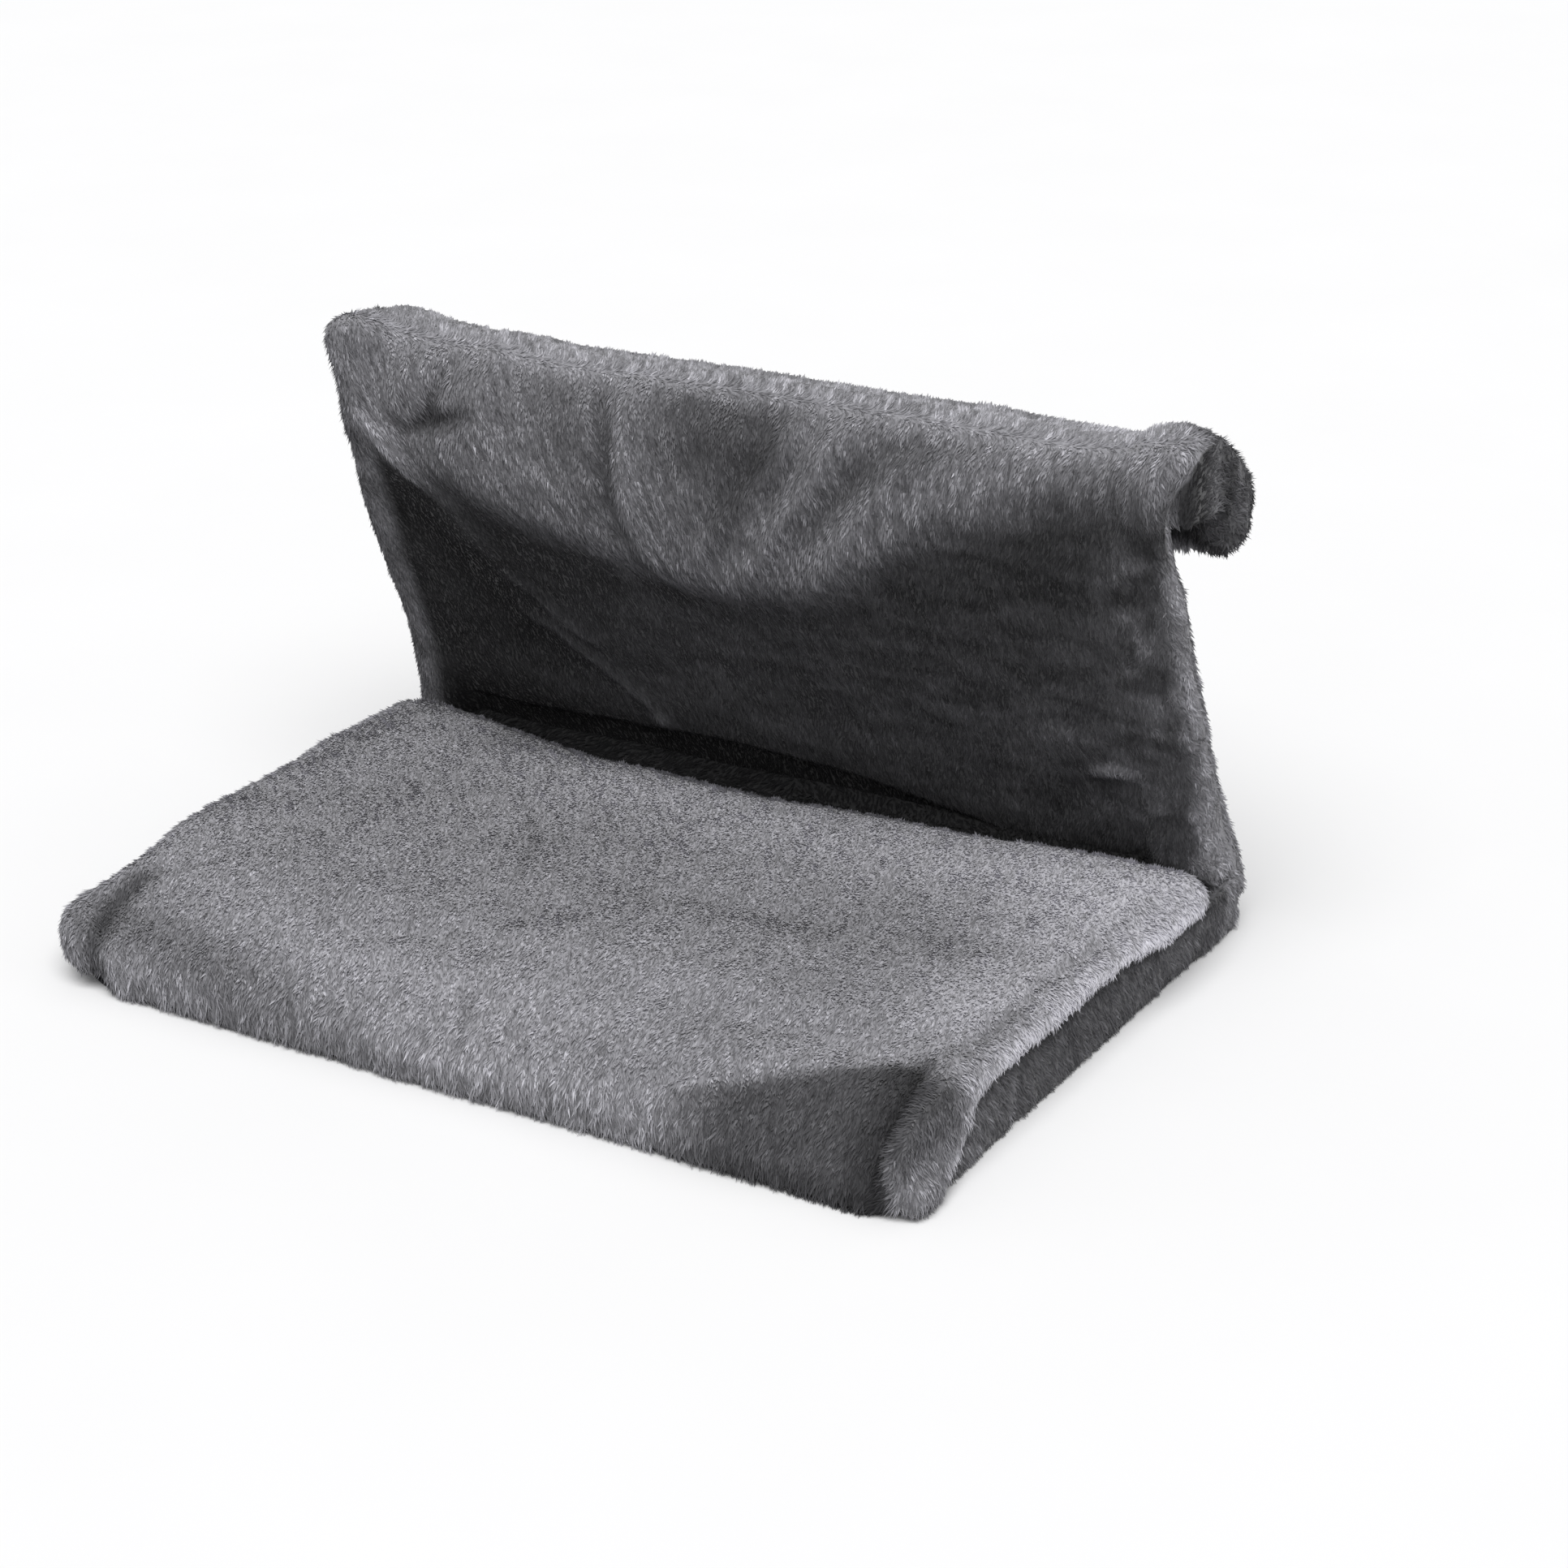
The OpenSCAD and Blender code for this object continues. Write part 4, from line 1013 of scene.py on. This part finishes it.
def shader(name, roughness, metallic=0.0, specular=0.5):
    """A new node material with a Principled shader, its helpers and its object coordinates."""
    m = bpy.data.materials.new(name)
    m.use_nodes = True
    nt = m.node_tree
    b = nt.nodes["Principled BSDF"]
    b.inputs["Roughness"].default_value = roughness
    b.inputs["Metallic"].default_value = metallic
    b.inputs["Specular IOR Level"].default_value = specular
    where = nt.nodes.new("ShaderNodeTexCoord").outputs["Object"]
    return m, nt, b, where


def noise_node(nt, where, scale, detail=4.0, roughness=0.55, stretch=None):
    if stretch:
        mapping = nt.nodes.new("ShaderNodeMapping")
        mapping.inputs["Scale"].default_value = stretch
        nt.links.new(where, mapping.inputs["Vector"])
        where = mapping.outputs["Vector"]
    n = nt.nodes.new("ShaderNodeTexNoise")
    n.inputs["Scale"].default_value = scale
    n.inputs["Detail"].default_value = detail
    n.inputs["Roughness"].default_value = roughness
    nt.links.new(where, n.inputs["Vector"])
    return n.outputs["Fac"]


def ramp_node(nt, value, low, high, a=0.3, b=0.7):
    r = nt.nodes.new("ShaderNodeValToRGB")
    r.color_ramp.elements[0].position, r.color_ramp.elements[1].position = a, b
    r.color_ramp.elements[0].color, r.color_ramp.elements[1].color = (*low, 1), (*high, 1)
    nt.links.new(value, r.inputs["Fac"])
    return r.outputs["Color"]


def bump_node(nt, value, b, distance, strength=0.5):
    n = nt.nodes.new("ShaderNodeBump")
    n.inputs["Strength"].default_value = strength
    n.inputs["Distance"].default_value = distance
    nt.links.new(value, n.inputs["Height"])
    nt.links.new(n.outputs["Normal"], b.inputs["Normal"])


def range_node(nt, value, low, high):
    n = nt.nodes.new("ShaderNodeMapRange")
    n.inputs["From Min"].default_value, n.inputs["From Max"].default_value = 0.3, 0.7
    n.inputs["To Min"].default_value, n.inputs["To Max"].default_value = low, high
    nt.links.new(value, n.inputs["Value"])
    return n.outputs["Result"]


def woven_material(name, low, high, scale=260):
    """Plain weave: warp and weft bands crossing, with patchy wear."""
    m, nt, b, where = shader(name, 0.88, 0.0, 0.2)
    heights = []
    for axis in ("X", "Y"):
        wave = nt.nodes.new("ShaderNodeTexWave")
        wave.wave_type = "BANDS"
        wave.bands_direction = axis
        wave.inputs["Scale"].default_value = scale
        wave.inputs["Distortion"].default_value = 0.6
        wave.inputs["Detail"].default_value = 2
        nt.links.new(where, wave.inputs["Vector"])
        heights.append(wave.outputs["Fac"])
    mul = nt.nodes.new("ShaderNodeMath")
    mul.operation = "MULTIPLY"
    nt.links.new(heights[0], mul.inputs[0])
    nt.links.new(heights[1], mul.inputs[1])
    add = nt.nodes.new("ShaderNodeMath")
    add.operation = "MULTIPLY_ADD"
    add.inputs[1].default_value = 0.5
    nt.links.new(noise_node(nt, where, 35, 5), add.inputs[0])
    nt.links.new(mul.outputs[0], add.inputs[2])
    nt.links.new(ramp_node(nt, add.outputs[0], low, high, 0.0, 1.0), b.inputs["Base Color"])
    bump_node(nt, mul.outputs[0], b, 0.0003)
    return m


def powder_coat():
    m, nt, b, where = shader("powder_coat", 0.5)
    grain = noise_node(nt, where, 1400, 3)
    patch = noise_node(nt, where, 45, 4)
    nt.links.new(ramp_node(nt, patch, (0.010, 0.010, 0.011), (0.022, 0.022, 0.024)), b.inputs["Base Color"])
    nt.links.new(range_node(nt, patch, 0.42, 0.6), b.inputs["Roughness"])
    bump_node(nt, grain, b, 0.0001, 0.6)
    return m


def moulded(name, low, high, roughness):
    m, nt, b, where = shader(name, roughness, 0.0, 0.45)
    patch = noise_node(nt, where, 60, 5)
    nt.links.new(ramp_node(nt, patch, low, high), b.inputs["Base Color"])
    nt.links.new(range_node(nt, patch, roughness - 0.07, roughness + 0.1), b.inputs["Roughness"])
    bump_node(nt, noise_node(nt, where, 2200, 2), b, 0.00008, 0.5)
    return m


def plated(name):
    """Zinc plating: brushed streaks, faint clouds and small dull spots."""
    m, nt, b, where = shader(name, 0.32, 1.0)
    cloud = noise_node(nt, where, 110, 5)
    nt.links.new(ramp_node(nt, cloud, (0.50, 0.51, 0.53), (0.72, 0.72, 0.71)), b.inputs["Base Color"])
    nt.links.new(range_node(nt, noise_node(nt, where, 1.0, 3, 0.6, (300, 2400, 2400)), 0.24, 0.46), b.inputs["Roughness"])
    bump_node(nt, noise_node(nt, where, 1.0, 2, 0.5, (200, 3000, 3000)), b, 0.00005, 0.3)
    return m


def thread_material():
    m, nt, b, where = shader("sewing_thread", 0.7, 0.0, 0.3)
    ply = noise_node(nt, where, 1.0, 2, 0.5, (1500, 4200, 4200))
    nt.links.new(ramp_node(nt, ply, (0.05, 0.05, 0.056), (0.14, 0.14, 0.15)), b.inputs["Base Color"])
    bump_node(nt, ply, b, 0.0002)
    return m


base_cloth = woven_material("woven_base", (0.016, 0.016, 0.018), (0.075, 0.075, 0.082))
tape_cloth = woven_material("zip_tape_cloth", (0.010, 0.010, 0.012), (0.042, 0.042, 0.048), 520)
coat = powder_coat()
black_nylon = moulded("black_nylon", (0.012, 0.012, 0.013), (0.024, 0.024, 0.026), 0.55)
white_nylon = moulded("natural_nylon", (0.66, 0.64, 0.58), (0.80, 0.78, 0.72), 0.45)
coil_nylon = moulded("coil_nylon", (0.020, 0.020, 0.022), (0.040, 0.040, 0.044), 0.38)
zinc = plated("zinc_plate")
thread = thread_material()

for node, material in (("seat_bow", coat), ("seat_rear_bar", coat), ("back_bow", coat), ("back_cross_bar", coat),
                       ("hinge_bracket_left", black_nylon), ("hinge_bracket_right", black_nylon), ("rod_end_left", black_nylon), ("rod_end_right", black_nylon),
                       ("bracket_screws", zinc), ("pivot_bolts", zinc), ("pivot_washers", zinc), ("pivot_nuts", zinc), ("rod_end_pins", zinc),
                       ("friction_washers", white_nylon), ("seat_sling", base_cloth), ("zip_tape", tape_cloth), ("zip_chain", coil_nylon),
                       ("zip_stops", zinc), ("zip_slider", zinc), ("zip_pull", zinc)):
    NODES[node].data.materials.clear()
    NODES[node].data.materials.append(material)

under_p, under_q = build_underside()
under = mesh_object("underside_cloth", metres(under_p), under_q)
under.data.materials.append(base_cloth)
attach(under, "seat")
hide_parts("seat_underside")

skirt_p, skirt_q = build_skirt()
# painted shade: the skirt is near black where it lies in the valley between seat and back, lighter at its rear and ends
skirt_t = 0.009 * (1 - 0.3 * smooth(skirt_p[:, 0], -120, -170)) * (1 + 0.15 * noise(skirt_p, (30, 24, 20), 67)) + (0.11 + 0.08 * smooth(np.abs(skirt_p[:, 0]), 200, 220)) * np.maximum(smooth(skirt_p[:, 1], 302, 313), smooth(np.abs(skirt_p[:, 0]), 218, 224) * smooth(skirt_p[:, 1], 292, 299))
skirt = mesh_object("rear_skirt_cover", metres(skirt_p), skirt_q)
set_tone(skirt, skirt_t)
skirt.data.materials.append(bpy.data.materials["plush_seat"])
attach(skirt, "seat")
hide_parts("rear_skirt", "valley_flap")
NORMALS[id(skirt_p)] = (skirt_p, vertex_normals(skirt_p, skirt_q))
add_pile("rear_skirt_pile", skirt_p, part_of(skirt_q, (skirt_p[:, 2] > 1.6) & (skirt_p[:, 1] > 266)), skirt_t, down_nap(skirt_p, np.sign(skirt_p[:, 0]), 3.8, 0.36), 120,
         body="seat", spacing=1.7, width=1.4)

# ---- the back's cover, from the rear of the seat over the hook
back_p, back_q, back_f = build_back()
back_t = back_tone_with_painted_light_and_shade(back_f, back_p)
back = mesh_object("back_cover", metres(back_p), back_q)
set_tone(back, back_t)
back.data.materials.append(plush_material("plush_back"))
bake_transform(back)
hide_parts("back_front_panel", "back_rear_panel", "back_side_left", "back_side_right", "hook_cover", "hook_lining",
            "hook_end_left", "hook_end_right", "rear_flap", "back_wadding", "hook_padding")


def back_nap(f, p):
    """The pile runs from the hook's tip over the crown and down the front, and down the rear, and outwards at the ends."""
    x, s, n = f.T
    _, _, a = tube_path(s)
    k = 0.32 - 0.0014 * x
    d = np.stack([k + 0.2 * noise(f, 45.0, 72), -np.cos(a), -np.sin(a)], 1)
    side = smooth(np.abs(x), 212, 224)
    # beyond the crown's crest the pile lies rearwards
    turn = smooth(s, 198, 214)
    d *= (1 - 2 * turn)[:, None]
    d[:, 0] += 0.5 * (1 - np.abs(1 - 2 * turn)) + (0.4 + 0.8 * smooth(s, 205, 220)) * np.sign(x) * side
    _, above = cowl(x, s)
    flat = (1 - smooth(above, -16, 10)) * (n < 0)
    end = side * smooth(s, 207, 222)
    tip = smooth(s, TIP_S - 12, TIP_S - 3)
    length = 3.1 - 0.5 * flat + 0.3 * side + 0.6 * tip
    lift = 0.26 - 0.08 * flat + 0.10 * side + 0.16 * end + 0.15 * tip
    stray = 0.17 + 0.2 * flat + 0.25 * side + 0.8 * end
    return d, length, lift, stray, np.stack([x + k * s, s, n], 1)


x, s_, n_ = back_f.T
NORMALS[id(back_p)] = (back_p, vertex_normals(back_p, back_q))
nap = back_nap(back_f, back_p)
lifted = back_p[:, 2] > 1.6
outer = (n_ < 0) | (s_ > TIP_S - 4)
hem = (np.abs(s_ - ZIP_S) < 11.5) & (np.abs(x) < ZIP_X + 5) & (n_ > 0)
add_pile("back_pile_front", back_p, part_of(back_q, outer & lifted), back_t, nap, 131, spacing=1.16, width=1.15)
add_pile("back_pile_rear", back_p, part_of(back_q, ~outer & ~hem & lifted), back_t, nap, 133, spacing=1.6, width=1.45)


# ---- the zip: its coil and the stitching of its slot
def tube_mesh(points, radius, sides=6):
    """Closed tube along the points, as verts and triangles."""
    pts = np.asarray(points, float)
    t = np.gradient(pts, axis=0)
    t /= np.linalg.norm(t, axis=1, keepdims=True)
    up = np.tile([0.13, 0.36, 0.92], (len(pts), 1))
    a = np.cross(t, up)
    a /= np.linalg.norm(a, axis=1, keepdims=True)
    b = np.cross(t, a)
    ang = np.arange(sides) * 2 * math.pi / sides
    ring = pts[:, None] + radius * (np.cos(ang)[None, :, None] * a[:, None] + np.sin(ang)[None, :, None] * b[:, None])
    verts = np.concatenate([ring.reshape(-1, 3), pts[:1] - t[:1] * radius * 0.7, pts[-1:] + t[-1:] * radius * 0.7])
    i = np.arange((len(pts) - 1) * sides)
    j = i - i % sides + (i + 1) % sides
    faces = np.concatenate([np.stack([i, i + sides, j], 1), np.stack([j, i + sides, j + sides], 1)])
    k = np.arange(sides)
    k2 = (k + 1) % sides
    last = (len(pts) - 1) * sides
    start = np.full(sides, len(pts) * sides)
    faces = np.concatenate([faces, np.stack([k, k2, start], 1), np.stack([last + k2, last + k, start + 1], 1)])
    return verts, faces


def merge(meshes):
    verts, faces, n = [], [], 0
    for v, q in meshes:
        verts.append(v)
        faces.append(q + n)
        n += len(v)
    return np.concatenate(verts), np.concatenate(faces)


def zip_coil():
    parts = []
    for side in (-1, 1):
        turns = 186
        t = np.linspace(0, 2 * math.pi * turns, turns * 10 + 1)
        f = np.stack([-186 + 372 * t / t[-1], ZIP_S + side * 1.3 + 1.15 * np.cos(t) * side, 8.5 + 0.95 * np.sin(t)], 1)
        parts.append(tube_mesh(on_back(f), 0.36, 5))
    return merge(parts)


def stitches():
    """Short lock stitches round the zip's slot, sunk a little into the cloth."""
    rear = np.flatnonzero((n_ > 2) & (np.abs(s_ - ZIP_S) < 16))
    flat = back_f[rear][:, :2]
    rows = [(x0, ZIP_S + side * 9.8, 1, 0) for side in (-1, 1) for x0 in np.arange(-ZIP_X - 1.5, ZIP_X + 1.5, 3.4)]
    rows += [(side * (ZIP_X + 2.4), s0, 0, 1) for side in (-1, 1) for s0 in np.arange(ZIP_S - 8.2, ZIP_S + 8.6, 3.3)]
    parts = []
    for x0, s0, ax, as_ in rows:
        mid = rear[np.argmin((flat[:, 0] - x0) ** 2 + (flat[:, 1] - s0) ** 2)]
        up = back_f[mid][2]
        k = np.linspace(-1, 1, 7)
        f = np.stack([x0 + ax * 1.35 * k, s0 + as_ * 1.3 * k, up + 0.42 - 0.62 * k**2], 1)
        parts.append(tube_mesh(on_back(f), 0.3, 6))
    return merge(parts)


for name, (v, q), material, slot in (("zip_coil", zip_coil(), coil_nylon, "zip_teeth"), ("zip_stitching", stitches(), thread, "zip_cloth")):
    ob = mesh_object(name, metres(v), q)
    ob.data.materials.append(material)
    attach(ob, "back")
    if name == "zip_coil":
        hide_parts("zip_chain")


# ------------------------------------------------------------------ floor and light
def floor_material():
    m, nt, b, where = shader("floor_pale", 0.85, 0.0, 0.1)
    nt.links.new(ramp_node(nt, noise_node(nt, where, 6, 3), (0.875, 0.875, 0.88), (0.885, 0.885, 0.89)), b.inputs["Base Color"])
    return m


def add_stage():
    bpy.ops.mesh.primitive_plane_add(size=40, location=(0, 0, 0))
    floor = bpy.context.object
    floor.name = "floor"
    floor.data.materials.append(floor_material())
    world = bpy.data.worlds.new("world")
    scene.world = world
    world.use_nodes = True
    world.node_tree.nodes["Background"].inputs["Color"].default_value = (1, 1, 1, 1)
    world.node_tree.nodes["Background"].inputs["Strength"].default_value = 0.42
    sun = bpy.data.objects.new("key", bpy.data.lights.new("key", "SUN"))
    sun.data.energy = 2.5
    sun.data.angle = math.radians(55)
    sun.rotation_euler = Vector((0.22, -0.42, 1.0)).to_track_quat("Z", "Y").to_euler()
    scene.collection.objects.link(sun)
    scene.view_settings.view_transform = "Standard"


add_stage()
